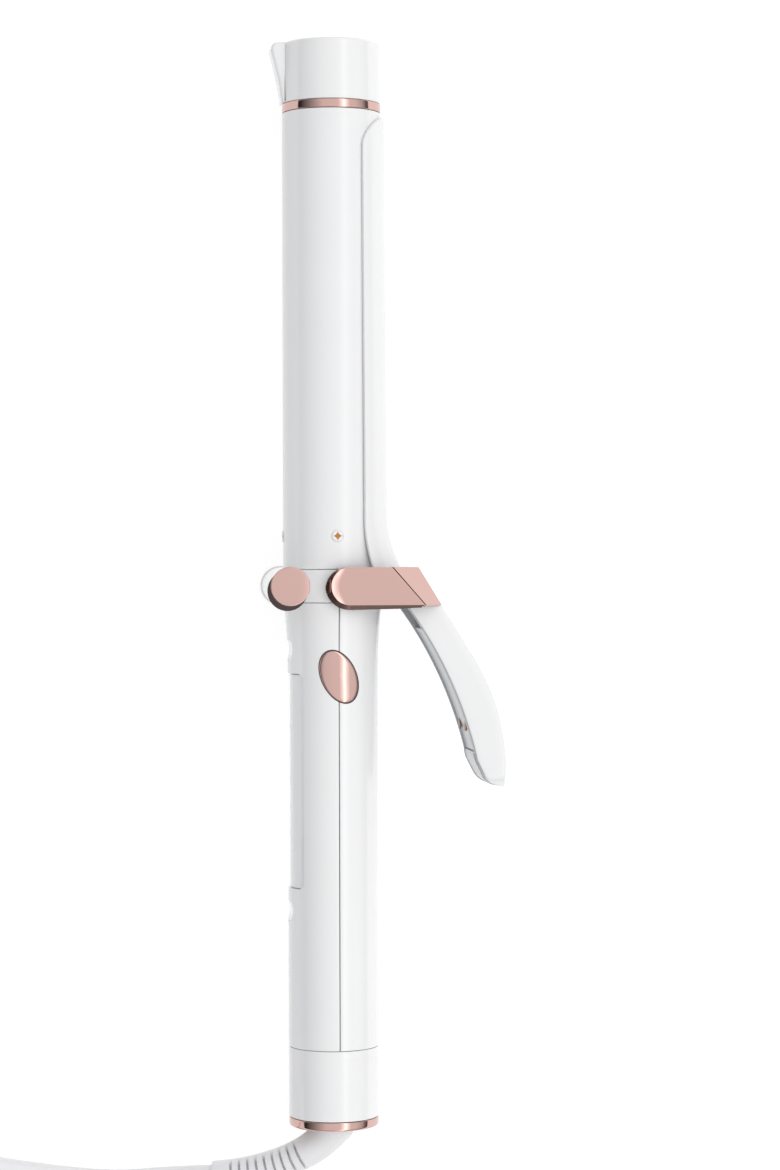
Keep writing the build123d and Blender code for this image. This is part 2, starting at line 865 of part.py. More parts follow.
def button(y):
    """Dished button with a flange that stops it inside the handle."""
    cap = button_column(y, 0, button_back, handle_radius) & rod_y(handle_radius, y - reach, y + reach)
    oval = Ellipse(button_half_height + button_flange, button_flange_half_width)
    flange = extrude(facing_left(y, -button_back) * oval, button_flange_thickness)
    return cap - button_scoop(y) + flange


def board_posts():
    """Posts of the left shell that carry the circuit board."""
    within = rod_y(handle_bore + boss_root, handle_low, handle_top)
    posts = [rod_x(post_radius, y, z, -reach, -board_face) for y, z in post_places]
    return [post & within for post in posts]


def handle_bosses(low, high):
    """Screw bosses between two places across the handle."""
    within = rod_y(handle_bore + boss_root, handle_low, handle_top)
    return [rod_x(boss_radius, y, 0, low, high) & within for y in handle_screw_heights]


def handle_screw(y):
    """Screw from the lever's side through the right shell into the left one."""
    seat = handle_radius - handle_screw_sink - handle_screw_head_height
    shank = rod_x(handle_screw_radius, y, 0, -handle_screw_reach, seat)
    return shank + rod_x(handle_screw_head_radius, y, 0, seat, seat + handle_screw_head_height)


def handle_screws():
    """Both handle screws."""
    upper, lower = (handle_screw(y) for y in handle_screw_heights)
    return upper + lower


def handle_shell_left():
    """Control side of the handle."""
    shell = handle_blank() & block((-reach, seam_left), (handle_low, handle_top), (-reach, reach))
    shell -= panel_column(0) - rod_y(panel_floor, handle_low, handle_top)
    for light in indicator_lights():
        shell -= light
    for y in (heat_button_height, power_button_height):
        shell -= button_scoop(y)
        shell -= button_column(y, button_gap, button_back, reach)
    for boss in board_posts() + handle_bosses(-reach, seam_left):
        shell += boss
    return shell - handle_screws() - circuit_screws()


def handle_shell_right():
    """Lever side of the handle."""
    shell = handle_blank() & block((seam_right, reach), (handle_low, handle_top), (-reach, reach))
    for boss in handle_bosses(seam_right, reach):
        shell += boss
    seat = handle_radius - handle_screw_sink - handle_screw_head_height
    for y in handle_screw_heights:
        shell -= rod_x(handle_screw_head_radius + fit_gap, y, 0, seat, reach)
    return shell - handle_screws()


def circuit_screws():
    """Screws that hold the circuit board on its posts."""
    solids = []
    for y, z in post_places:
        shank = rod_x(board_screw_radius, y, z, -board_face - board_screw_reach, -board_back)
        head_end = -board_back + board_screw_head_height
        solids.append(shank + rod_x(board_screw_head_radius, y, z, -board_back, head_end))
    return solids[0] + solids[1]


def circuit_board():
    """Board along the handle, with room for the upper handle boss."""
    half = board_width / 2
    board = block((-board_face, -board_back), (board_top - board_length, board_top), (-half, half))
    board -= rod_x(boss_radius + side_gap, handle_screw_heights[0], 0, -reach, 0)
    return board - circuit_screws()


def press_switches():
    """A push switch under each button."""
    solids = []
    half = switch_size / 2
    for y in (heat_button_height, power_button_height):
        body = block((-board_face - switch_height, -board_face), (y - half, y + half), (-half, half))
        top = -board_face - switch_height
        solids.append(body + rod_x(plunger_radius, y, 0, top - plunger_height, top))
    return solids[0] + solids[1]


def heater_core():
    """One half of the aluminium core that spreads the heat, on the near side."""
    outer = barrel_bore - slip_gap
    core_end = core_start + core_length
    web_low = heater_thickness / 2 + fit_gap
    shell = tube_y(outer, outer - core_wall, core_start, core_end)
    shell = shell & block((-reach, reach), (core_start, core_end), (web_low, reach))
    web = block((-reach, reach), (core_start, core_end), (web_low, web_low + web_thickness))
    return shell + (web & rod_y(outer, core_start, core_end))


def ceramic_heater():
    """Flat heater between the two halves of the core."""
    half_width, half_thickness = heater_width / 2, heater_thickness / 2
    low = core_start + 2 * heater_thickness
    return block((-half_width, half_width), (low, low + heater_length), (-half_thickness, half_thickness))


def thermal_fuse():
    """Fuse lying on the core's web."""
    level = heater_thickness / 2 + fit_gap + web_thickness + fuse_radius + fit_gap
    return rod_y(fuse_radius, fuse_start, fuse_start + fuse_length, fuse_offset, level)


def heater_leads():
    """Two insulated leads from the heater core to the circuit board."""
    lead = rod_y(lead_radius, board_top - lead_overlap, core_start - fit_gap, -lead_offset, lead_spread)
    return both_sides(lead)


def end_collar():
    """End collar with a spigot up into the handle and a chamber for the swivel."""
    spigot = handle_bore - slip_gap
    profile = [
        (end_bore, end_ring_top),
        (end_collar_radius - seam_bevel, end_ring_top),
        (end_collar_radius, end_ring_top + seam_bevel),
        (end_collar_radius, handle_low - seam_bevel),
        (end_collar_radius - seam_bevel, handle_low),
        (spigot, handle_low),
        (spigot, handle_low + end_spigot_length),
        (end_bore, handle_low + end_spigot_length),
    ]
    return turned(profile)


def end_ring():
    """Trim ring that closes the handle's end, rounded at its lower edge."""
    ring = tube_y(end_ring_radius, relief_radius + swivel_gap, end_face, end_ring_top)
    outer = [e for e in ring.edges().group_by(Axis.Y)[0] if e.radius > relief_radius + 2 * swivel_gap]
    return fillet(outer, end_ring_edge)


def brush_contacts():
    """Two brushes that touch the slip rings."""
    flange_top = end_ring_top + swivel_gap + flange_thickness
    half = brush_width / 2
    outside = math.sqrt(end_bore**2 - half**2) - fit_gap
    inside = stem_radius + slip_ring_wall + swivel_gap
    solids = []
    for drop in slip_ring_drops:
        low = flange_top + drop + slip_ring_height / 4
        solids.append(block((inside, outside), (low, low + slip_ring_height / 2), (-half, half)))
    return solids[0] + solids[1]


def slip_rings():
    """Two brass rings on the swivel's stem."""
    flange_top = end_ring_top + swivel_gap + flange_thickness
    outer = stem_radius + slip_ring_wall
    upper, lower = (
        tube_y(outer, stem_radius, flange_top + drop, flange_top + drop + slip_ring_height) for drop in slip_ring_drops
    )
    return upper + lower


def swivel_stem():
    """Stem that turns inside the end collar with the cord."""
    flange_top = end_ring_top + swivel_gap + flange_thickness
    return rod_y(stem_radius, flange_top, flange_top + stem_length)


def relief_frame(turn, bend, start):
    """Point and heading after a turn of the cord exit's bend from a start point and turn."""
    side = Vector(-math.cos(math.radians(relief_dip)), 0, -math.sin(math.radians(relief_dip)))
    down = Vector(0, -1, 0)
    place, began = start
    first, last = math.radians(began), math.radians(turn)
    run = down * (bend * (math.sin(last) - math.sin(first)))
    run += side * (bend * (math.cos(first) - math.cos(last)))
    heading = down * math.cos(last) + side * math.sin(last)
    return place + run, heading


def relief_tail_length():
    """Length of the ribbed tail and its plain end sleeve."""
    return relief_ribs * relief_rib_pitch + relief_sleeve


def relief_tail_place(run):
    """Point and heading at a run along the ribbed tail."""
    elbow_start = Vector(0, end_face - relief_neck_run, 0)
    elbow_end, heading = relief_frame(relief_elbow_turn, relief_elbow_bend, (elbow_start, 0))
    turn = relief_elbow_turn + math.degrees(run / relief_tail_bend)
    return relief_frame(turn, relief_tail_bend, (elbow_end, relief_elbow_turn))


def relief_tail():
    """Ribbed, tapering tail: four circles to each rib, then a plain sleeve."""
    length = relief_tail_length()
    stations = []
    for rib in range(relief_ribs):
        low = rib * relief_rib_pitch
        high = low + relief_rib_pitch - relief_groove
        stations += [(low, 0), (high, 0), (high, relief_groove_depth)]
        stations.append((low + relief_rib_pitch, relief_groove_depth))
    stations += [(relief_ribs * relief_rib_pitch, 0), (length, 0)]
    solids = []
    for (low, low_depth), (high, high_depth) in zip(stations, stations[1:]):
        if high - low < 1e-6:
            continue
        circles = []
        for run, depth in ((low, low_depth), (high, high_depth)):
            taper = relief_elbow_radius + (relief_end_radius - relief_elbow_radius) * run / length
            point, heading = relief_tail_place(run)
            circles.append(Plane(origin=point, x_dir=Vector(0, -1, 0).cross(heading), z_dir=heading) * Circle(taper - depth))
        solids.append(loft(circles, ruled=True))
    return solids[0].fuse(*solids[1:])


def strain_relief():
    """Moulded cord exit: a flange inside the end collar, a short elbow and a ribbed tail."""
    flange_low = end_ring_top + swivel_gap
    elbow_top = end_face - relief_neck_run
    neck = turned(
        [
            (0, flange_low + flange_thickness),
            (end_bore - swivel_gap, flange_low + flange_thickness),
            (end_bore - swivel_gap, flange_low),
            (relief_radius, flange_low),
            (relief_radius, end_face),
            (relief_elbow_radius, elbow_top),
            (0, elbow_top),
        ]
    )
    start = Vector(0, elbow_top, 0)
    end, heading = relief_frame(relief_elbow_turn, relief_elbow_bend, (start, 0))
    bend = arc_between(start, Vector(0, -1, 0), end)
    section = Plane(origin=start, z_dir=(0, -1, 0)) * Circle(relief_elbow_radius)
    elbow = sweep(section, path=Wire([bend]))
    return neck + elbow + relief_tail()


def cord_heights():
    """Levels of the coil's layers."""
    first = floor + coil_lift + cord_radius
    return [first + layer * coil_step for layer in range(coil_layers)]


def coil_stations():
    """Distance from the centre and level at each half turn: in, out, in and out again."""
    heights = cord_heights()
    half_step = coil_step / 2
    radius = coil_start_radius
    stations = [(radius, heights[0])]
    for layer in range(coil_layers):
        way = -half_step if layer % 2 == 0 else half_step
        for turn in range(coil_half_turns):
            if layer and turn == 0:
                radius += 2 * way
            else:
                radius += way
            stations.append((radius, heights[layer]))
        if layer + 1 < coil_layers:
            radius += way
            stations.append((radius, heights[layer + 1]))
    radius += half_step
    stations.append((radius, heights[-1]))
    return stations


def coil_point(index):
    """Point and heading of the coil at a half turn, which lie below or above its centre."""
    radius, level = coil_stations()[index]
    side = -1 if index % 2 == 0 else 1
    point = Vector(coil_centre[0], coil_centre[1] + side * radius, level)
    return point, Vector(side, 0, 0)


def coil_edges():
    """The coil's line: half circles in each layer, a pair of arcs at each climb, straight ends."""
    count = len(coil_stations())
    start, heading = coil_point(0)
    lead = 2 * cord_radius
    edges = [Line(start - heading * lead, start)]
    for index in range(count - 1):
        near, near_heading = coil_point(index)
        far, far_heading = coil_point(index + 1)
        edges += biarc(near, near_heading, far, far_heading)
    end, heading = coil_point(count - 1)
    edges.append(Line(end, end + heading * lead))
    return edges


def coil_gap(edges):
    """Least gap of the coil to itself, measured on points along it."""
    step = cord_radius / 2
    points = []
    for edge in edges:
        count = max(2, round(edge.length / step))
        points += [edge @ (i / count) for i in range(count)]
    places = numpy.array([tuple(point) for point in points])
    skip = round(4 * math.pi * cord_radius / step)
    least = math.inf
    for index in range(len(places) - skip):
        away = numpy.linalg.norm(places[index + skip :] - places[index], axis=1)
        least = min(least, away.min())
    return least - 2 * cord_radius


def cord_coil():
    """The put-away length of the lead, wound in layers."""
    edges = coil_edges()
    length = sum(edge.length for edge in edges)
    section = Plane(origin=edges[0] @ 0, z_dir=edges[0] % 0) * Circle(cord_radius)
    coil = sweep(section, path=Wire(edges))
    tell("cord_coil", length, coil)
    print("cord_coil least gap to itself", round(coil_gap(edges), 3))
    return coil


def tell(name, length, solid):
    """Print a cord's length and how its volume compares with section times length."""
    share = solid.volume / (math.pi * cord_radius**2 * length)
    print(name, "length", round(length, 1), "volume over section times length", round(share, 4))


def cord_tube(name, points):
    """Tube on straight runs joined by arcs as large as the runs allow."""
    radii = []
    for before, corner, after in zip(points, points[1:], points[2:]):
        turn = math.radians((corner - before).get_angle(after - corner))
        shorter = min((corner - before).length, (after - corner).length)
        radii.append(cord_arc_share * shorter / math.tan(turn / 2))
    path = FilletPolyline(*points, radius=radii)
    print(name, "radii", [round(radius, 1) for radius in radii])
    section = Plane(origin=points[0], z_dir=points[1] - points[0]) * Circle(cord_radius)
    tube = sweep(section, path=path)
    tell(name, path.length, tube)
    return tube


def lead_point(spot):
    """Point of the lead: across, along from the handle's end, and raised from lying on the table."""
    across_place, along, lift = spot
    return Vector(across_place, end_face + along, floor + cord_radius + lift)


def cord_free():
    """The lead from the strain relief to the coil, down to the table and away to the left."""
    exit_point, exit_heading = relief_tail_place(relief_tail_length())
    coil_in, coil_heading = coil_point(0)
    join = coil_in - coil_heading * (2 * cord_radius)
    points = [
        exit_point,
        exit_point + exit_heading * cord_first_run,
        *(lead_point(spot) for spot in cord_table_spots),
        join - coil_heading * coil_lead_in,
        join,
    ]
    return cord_tube("cord_free", points)


def cord_tail():
    """The last of the lead, from the top of the coil down to the plug beside it."""
    count = len(coil_stations())
    coil_out, heading = coil_point(count - 1)
    start = coil_out + heading * (2 * cord_radius)
    level = floor + plug_height / 2
    plug_start = Vector(plug_place[0], plug_place[1], level)
    points = [
        start,
        start + heading * coil_lead_out,
        *(lead_point(spot) for spot in cord_tail_spots),
        plug_start - Vector(0, plug_lead_in, 0),
        plug_start,
    ]
    return cord_tube("cord_tail", points)


def cord_tie():
    """Strap round the coil's turns, on the side away from where the lead joins it."""
    stations = coil_stations()[1::2]
    heights = cord_heights()
    half = tie_width / 2
    inner = min(radius for radius, level in stations)
    dip = inner - math.sqrt(inner**2 - half**2)
    low = coil_centre[1] + inner - dip - cord_radius - tie_gap
    high = coil_centre[1] + max(radius for radius, level in stations) + cord_radius + tie_gap
    top = heights[-1] + cord_radius + tie_gap
    side = (coil_centre[0] - half, coil_centre[0] + half)
    wrap = tie_thickness
    outer = block(side, (low - wrap, high + wrap), (floor, top + wrap))
    return outer - block(side, (low, high), (floor + wrap, top))


def plug_frame(run):
    """Plane across the plug at a run from the cord."""
    origin = (plug_place[0], plug_place[1] + run, floor + plug_height / 2)
    return Plane(origin=origin, x_dir=(1, 0, 0), z_dir=(0, 1, 0))


def plug_body():
    """Moulded plug: a tapered sleeve on the cord that swells into a flat body."""
    sleeve = loft(
        [
            plug_frame(0) * Circle(plug_relief_radius),
            plug_frame(plug_relief_length) * Circle(plug_height / 2 - plug_nose / 2),
        ],
        ruled=True,
    )
    body = extrude(plug_frame(plug_relief_length) * RectangleRounded(plug_width, plug_height, plug_corner), plug_body_length)
    back = body.edges().group_by(Axis.Y)[0]
    body = fillet(back, plug_nose)
    return sleeve + body


def plug_blades():
    """Two flat blades."""
    start = plug_frame(plug_relief_length + plug_body_length)
    blade = extrude(start * Pos(blade_spread / 2, 0) * Rectangle(blade_thickness, blade_width), blade_length)
    other = extrude(start * Pos(-blade_spread / 2, 0) * Rectangle(blade_thickness, blade_width), blade_length)
    return blade + other


def rest_shift():
    """Move that lays the iron on its side, centred over the origin without its lead."""
    right = lever_outer()[2].X
    left = -(bar_offset + bar_cap_radius)
    return Vector(-(left + right) / 2, -(tip_high + end_face) / 2, -floor)


pieces = {
    "barrel_tube": barrel_tube(),
    "barrel_screws": barrel_screws(),
    "heater_core_front": heater_core(),
    "heater_core_back": mirror(heater_core(), Plane.XY),
    "ceramic_heater": ceramic_heater(),
    "thermal_fuse": thermal_fuse(),
    "heater_leads": heater_leads(),
    "tip_plug": tip_plug(),
    "tip_ring": tip_ring(),
    "cool_tip": cool_tip(),
    "hinge_collar": hinge_collar(),
    "hinge_pins": hinge_pins(),
    "hinge_springs": hinge_springs(),
    "rest_bar": rest_bar(),
    "rest_bar_caps": rest_bar_caps(),
    "rest_bar_screw": rest_bar_screw(),
    "clamp_plate": clamp_plate(),
    "clamp_rivets": clamp_rivets(),
    "hinge_bracket": hinge_bracket(),
    "hinge_cover": hinge_cover(),
    "thumb_lever": thumb_lever(),
    "lever_liner": lever_liner(),
    "lever_screws": lever_screws(),
    "handle_shell_left": handle_shell_left(),
    "handle_shell_right": handle_shell_right(),
    "handle_screws": handle_screws(),
    "handle_badge": handle_badge(),
    "control_panel": control_panel(),
    "indicator_lights": Compound(children=indicator_lights()),
    "heat_button": button(heat_button_height),
    "power_button": button(power_button_height),
    "circuit_board": circuit_board(),
    "circuit_screws": circuit_screws(),
    "press_switches": press_switches(),
    "end_collar": end_collar(),
    "end_ring": end_ring(),
    "brush_contacts": brush_contacts(),
    "slip_rings": slip_rings(),
    "swivel_stem": swivel_stem(),
    "strain_relief": strain_relief(),
    "cord_free": cord_free(),
    "cord_coil": cord_coil(),
    "cord_tail": cord_tail(),
    "cord_tie": cord_tie(),
    "plug_body": plug_body(),
    "plug_blades": plug_blades(),
}

os.makedirs("parts", exist_ok=True)
for name, piece in pieces.items():
    export_step(Pos(*rest_shift()) * piece, f"parts/{name}.step")
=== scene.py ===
import math

import bpy
import numpy as np
from mathutils import Euler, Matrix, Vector
from numpy.linalg import norm


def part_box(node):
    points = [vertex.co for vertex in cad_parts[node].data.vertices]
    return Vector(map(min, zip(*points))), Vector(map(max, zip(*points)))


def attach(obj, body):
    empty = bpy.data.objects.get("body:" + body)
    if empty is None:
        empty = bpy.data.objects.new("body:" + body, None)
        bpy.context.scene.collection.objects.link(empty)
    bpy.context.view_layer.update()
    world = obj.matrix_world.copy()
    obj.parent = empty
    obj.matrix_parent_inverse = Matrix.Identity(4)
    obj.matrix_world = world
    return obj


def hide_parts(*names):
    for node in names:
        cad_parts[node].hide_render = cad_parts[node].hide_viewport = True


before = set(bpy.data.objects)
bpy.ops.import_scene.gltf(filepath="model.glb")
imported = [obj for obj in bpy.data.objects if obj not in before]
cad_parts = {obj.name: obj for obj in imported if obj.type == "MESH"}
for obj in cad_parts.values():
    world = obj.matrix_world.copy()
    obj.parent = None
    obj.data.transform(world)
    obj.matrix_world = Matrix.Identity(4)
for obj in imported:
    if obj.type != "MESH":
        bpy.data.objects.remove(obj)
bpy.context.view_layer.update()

# The camera looks down on the iron from the side of its controls, as in a product picture.
# The iron's own axes start on the barrel's axis, level with the hinge pivot, in millimetres:
# X to the thumb lever, Y to the tip and Z to the side that shows.
barrel_low, barrel_high = (np.array(corner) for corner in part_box("barrel_tube"))
pins_low, pins_high = (np.array(corner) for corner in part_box("hinge_pins"))
barrel_centre, pins_centre = (barrel_low + barrel_high) / 2, (pins_low + pins_high) / 2
pivot_level = np.array([barrel_centre[0], pins_centre[1], barrel_centre[2]])


def laid(points):
    """Points of the iron's own axes, in metres in the shared frame: the start plus a thousandth."""
    return pivot_level + 0.001 * np.asarray(points, float)


def placed(name, data):
    """A new object in the scene."""
    made = bpy.data.objects.new(name, data)
    bpy.context.scene.collection.objects.link(made)
    return made


sensor, focal_pixels, picture_pixels = 36.0, 3034.7, 1170
eye = placed("camera", bpy.data.cameras.new("camera"))
eye.location = laid((-101.99, 8.88, 969.75))
eye.rotation_euler = Euler((-0.0089, -0.1237, -0.0027), "ZXY").to_matrix().to_euler("XYZ")
eye.data.sensor_width = sensor
eye.data.lens = sensor * focal_pixels / picture_pixels
bpy.context.scene.camera = eye

# The lead is a round white flexible mains lead. It leaves the ribbed sleeve at the handle's end,
# drops to the table and runs away to the left, where the rest of it is wound up in a tied coil
# beside the iron, with its last turn going round to the plug.


class Tone:
    """A socket's value. A sum with it adds a Math node to its finish."""

    def __init__(self, finish, socket):
        self.finish, self.socket = finish, socket

    def sum(self, operation, first, second):
        return self.finish.node("Math", {"operation": operation}, {0: first, 1: second})

    def __add__(self, other):
        return self.sum("ADD", self, other)

    def __rsub__(self, other):
        return self.sum("SUBTRACT", other, self)

    def __mul__(self, other):
        return self.sum("MULTIPLY", self, other)

    __radd__, __rmul__ = __add__, __mul__


class Finish:
    """A material, or the studio's sky, with one shader. Fixed values are set on its sockets."""

    def __init__(self, name, sky=None, **fixed):
        self.owner = sky or bpy.data.materials.new(name)
        self.owner.use_nodes = True
        self.tree = self.owner.node_tree
        self.shader = self.tree.nodes["Background" if sky else "Principled BSDF"]
        self.shade(**fixed)

    def put(self, node, sockets):
        """Links a tone to each socket, or sets its plain value."""
        for key, value in sockets.items():
            if isinstance(value, Tone):
                self.tree.links.new(value.socket, node.inputs[key])
            else:
                node.inputs[key].default_value = value

    def node(self, kind, settings, sockets, out=0):
        """A node with its settings, a ramp's stops among them, and its sockets; gives an output."""
        made = self.tree.nodes.new("ShaderNode" + kind)
        for key, value in settings.items():
            if key == "stops":
                stops = made.color_ramp.elements
                stops[0].position, stops[0].color = value[0]
                stops[-1].position, stops[-1].color = value[-1]
                for place, colour in value[1:-1]:
                    stops.new(place).color = colour
            else:
                setattr(made, key, value)
        self.put(made, sockets)
        return Tone(self, made.outputs[out])

    def where(self):
        """Object coordinates."""
        return self.node("TexCoord", {}, {}, "Object")

    def noise(self, scale, detail=2.0, stretch=(1.0, 1.0, 1.0)):
        """Noise on object coordinates, pulled out along the axes."""
        where = self.node("VectorMath", {"operation": "MULTIPLY"}, {0: self.where(), 1: stretch})
        return self.node("TexNoise", {}, {"Vector": where, "Scale": scale, "Detail": detail})

    def mix(self, share, first, second):
        """Colour between two, by a share."""
        sockets = {"Factor": share, 6: (*first, 1.0), 7: (*second, 1.0)}
        return self.node("Mix", {"data_type": "RGBA"}, sockets, 2)

    def bump(self, height, strength, distance):
        """Normal of a surface raised by a height."""
        return self.node("Bump", {}, {"Height": height, "Strength": strength, "Distance": distance})

    def shade(self, **sockets):
        """Feeds the shader's sockets, named with underscores, and gives the material."""
        self.put(self.shader, {key.replace("_", " "): value for key, value in sockets.items()})
        return self.owner


cord_finish = Finish("white_cord", IOR=1.46)
cord_mottle = cord_finish.noise(120.0)
cord_skin = cord_finish.noise(1800.0)
white_cord = cord_finish.shade(
    Base_Color=cord_finish.mix(cord_mottle, (0.83, 0.83, 0.84), (0.77, 0.77, 0.785)),
    Roughness=0.34 + 0.1 * cord_mottle,
    Normal=cord_finish.bump(cord_skin, 0.06, 0.0001),
)

floor_level, lead_radius, end_face = -20.2, 3.0, -173.2
sleeve_dip = math.radians(14.0)
sleeve_aside = np.array([-math.cos(sleeve_dip), 0.0, -math.sin(sleeve_dip)])
sleeve_runs_known = np.array([-7.0, 0.0, 8.0, 14.0, 22.0, 35.0, 46.0])
sleeve_turns_known = np.radians([8.0, 26.0, 50.0, 62.0, 71.0, 81.0, 88.0])
sleeve_length, sleeve_off = 44.5, -0.4


def sleeve_line(runs):
    """Centre line of the cord's exit. Its heading turns from down to aside as the run grows, straight
    between known turns, and the point is the sum of the headings from the ring's face on."""
    fine = np.linspace(sleeve_runs_known[0], sleeve_runs_known[-1], 2121)
    turn = np.interp(fine, sleeve_runs_known, sleeve_turns_known)
    down = np.array([0.0, -1.0, 0.0])
    heading = np.cos(turn)[:, None] * down + np.sin(turn)[:, None] * sleeve_aside
    point = np.cumsum(heading, axis=0) * (fine[1] - fine[0])
    start = [np.interp(0.0, fine, point[:, k]) for k in range(3)]
    point = point - start + np.array([sleeve_off, end_face, 0.0])
    lines = np.hstack([point, heading]).T
    at = np.stack([np.interp(runs, fine, line) for line in lines], axis=-1)
    return at[..., :3], at[..., 3:] / norm(at[..., 3:], axis=-1, keepdims=True)


lead_exit, lead_heading = sleeve_line(np.array(sleeve_length))
coil_middle, coil_first, coil_layer = np.array([-166.0, -139.0]), 4.2, 6.5
coil_reach = np.array([
    42.0, 38.75, 35.5, 32.25, 29.0, 25.75, 32.25, 35.5, 38.75, 42.0, 45.25,
    38.75, 35.5, 32.25, 29.0, 25.75, 32.25, 35.5, 38.75, 42.0, 45.25,
])
coil_level = floor_level + coil_first + coil_layer * np.repeat([0.0, 1.0, 2.0, 3.0], [5, 5, 5, 6])


def points(x, y, z):
    """Points from their coordinates, spread out to one shape."""
    return np.stack(np.broadcast_arrays(x, y, z), axis=-1)


def coil_turns(per_half_turn):
    """Half turn by half turn: across = side times reach times sine, along = middle plus half the
    span times cosine, and the level eases over to the next layer's."""
    a = np.pi * np.arange(per_half_turn) / per_half_turn
    side = np.where(np.arange(len(coil_reach)) % 2 == 0, -1.0, 1.0)
    start, end = (side * coil_reach)[:-1, None], (side * coil_reach)[1:, None]
    across = side[:-1, None] * (coil_reach[:-1, None] + coil_reach[1:, None]) / 2 * np.sin(a)
    along = (start + end) / 2 + (start - end) / 2 * np.cos(a)
    level = coil_level[:-1, None] + np.diff(coil_level)[:, None] * (1 - np.cos(a)) / 2
    return points(coil_middle[0] + across, coil_middle[1] + along, level).reshape(-1, 3)


plug_start = np.array([-225.0, -130.0, -12.7])
lead_route = np.vstack([
    lead_exit, lead_exit + 15.0 * lead_heading,
    (-68.0, -192.6, -16.4), (-86.0, -190.9, -17.2), (-104.0, -187.9, -17.2), (-121.0, -184.6, -16.9),
    (-136.0, -182.0, -16.4), (-148.0, -181.0, -16.0), (-160.0, -181.0, -16.0),
    coil_turns(12),
    (-166.0, -184.25, 3.5), (-172.0, -184.25, 3.5), (-190.0, -184.25, 3.5), (-209.0, -176.5, 0.0),
    (-221.5, -160.5, -7.0), (-225.0, -143.0, -12.7), plug_start,
])
lead_curve = bpy.data.curves.new("mains_lead", "CURVE")
lead_curve.dimensions = "3D"
lead_curve.bevel_depth = 0.001 * lead_radius
lead_curve.bevel_resolution = 6
lead_curve.resolution_u = 6
lead_curve.use_fill_caps = True
lead_spline = lead_curve.splines.new("NURBS")
lead_spline.points.add(len(lead_route) - 1)
lead_spline.points.foreach_set("co", np.c_[laid(lead_route), np.ones(len(lead_route))].ravel())
lead_spline.order_u = 3
lead_spline.use_endpoint_u = True
mains_lead = placed("mains_lead", lead_curve)
lead_curve.materials.append(white_cord)
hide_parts("cord_free", "cord_coil", "cord_tail")
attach(mains_lead, "lead")

# The plug is one moulding on the lead's end: a grooved sleeve that swells into a flat body with
# finger hollows in its sides. Its two flat blades are brass and keep their CAD shape.


def skin(name, grid, material, body, slot, nodes=(), around=True, caps=(False, False), crease=40.0):
    """Mesh of a grid of points: each point is joined to the next in its row and in the next row.
    Rows may close on themselves, and the first and last may be filled. Columns times rows face out."""
    rows, cols = grid.shape[:2]
    index = np.arange(rows * cols).reshape(rows, cols)
    here, after = (index, np.roll(index, -1, axis=1)) if around else (index[:, :-1], index[:, 1:])
    faces = np.stack([here[:-1], after[:-1], after[1:], here[1:]], axis=-1).reshape(-1, 4).tolist()
    faces += [index[0, ::-1].tolist()] if caps[0] else []
    faces += [index[-1].tolist()] if caps[1] else []
    mesh = bpy.data.meshes.new(name)
    mesh.from_pydata(laid(grid.reshape(-1, 3)).tolist(), [], faces)
    mesh.polygons.foreach_set("use_smooth", np.ones(len(faces), bool))
    mesh.set_sharp_from_angle(angle=math.radians(crease))
    mesh.materials.append(material)
    made = placed(name, mesh)
    if nodes:
        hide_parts(*nodes)
    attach(made, body)
    return made


def full_turn(count):
    """Even angles once round."""
    return np.linspace(0, 2 * np.pi, count, endpoint=False)


# Sections along the plug: run, half width, half height and how square it is.
plug_run, plug_half_width, plug_half_height, plug_square = np.array([
    (0.0, 3.4, 3.4, 2.0), (0.0, 4.5, 4.5, 2.0), (4.0, 4.6, 4.6, 2.0), (8.0, 4.7, 4.7, 2.0),
    (12.0, 4.9, 4.9, 2.0), (16.0, 5.4, 5.3, 2.1), (19.0, 6.6, 5.9, 2.4), (20.6, 9.0, 6.6, 2.9),
    (22.5, 11.2, 7.1, 3.4), (26.0, 12.2, 7.4, 4.0), (32.0, 11.6, 7.4, 4.2), (38.0, 11.6, 7.4, 4.2),
    (43.0, 12.2, 7.4, 4.2), (46.0, 12.3, 7.4, 4.2), (46.8, 12.0, 7.1, 4.2), (47.0, 11.4, 6.6, 4.2),
]).T
grip_depth, grip_from, grip_to, grip_pitch = 0.4, 2.5, 15.5, 2.6
plug_step = np.linspace(0, len(plug_run) - 1, 121)
plug_a = full_turn(72)


def along_plug(values):
    """A size of the plug at each step between its known sections."""
    return np.interp(plug_step, np.arange(len(plug_run)), values)[:, None]


def squarish(wave, power):
    """A cosine or sine flattened towards a rectangle: its sign times its size to a power."""
    return np.sign(wave) * np.abs(wave) ** (2 / power)


plug_y = along_plug(plug_run)
plug_ribbed = (plug_y > grip_from) & (plug_y < grip_to)
plug_groove = grip_depth * plug_ribbed * np.maximum(0, np.cos(2 * np.pi * plug_y / grip_pitch))
plug_x = (along_plug(plug_half_width) - plug_groove) * squarish(np.cos(plug_a), along_plug(plug_square))
plug_z = (along_plug(plug_half_height) - plug_groove) * squarish(np.sin(plug_a), along_plug(plug_square))
plug_grid = plug_start + points(plug_x, plug_y, plug_z)
plug_shell = skin(
    "plug_shell", plug_grid[:, ::-1], white_cord, "lead", "cord_white", ["plug_body"], caps=(True, True)
)


def plated(name, colour, dark, rough):
    """Polished plating: fine drawn lines in the gloss and a slow drift of the colour."""
    finish = Finish(name, Metallic=1.0)
    drift, drawn = finish.noise(60.0), finish.noise(700.0, 2.0, (1.0, 0.04, 1.0))
    return finish.shade(
        Base_Color=finish.mix(drift, colour, dark),
        Roughness=rough + 0.06 * drawn,
        Normal=finish.bump(drawn, 0.015, 0.0001),
    )


def dress(material, *names):
    """Puts a material on CAD nodes that keep their own shape."""
    for name in names:
        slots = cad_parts[name].data.materials
        slots.clear()
        slots.append(material)


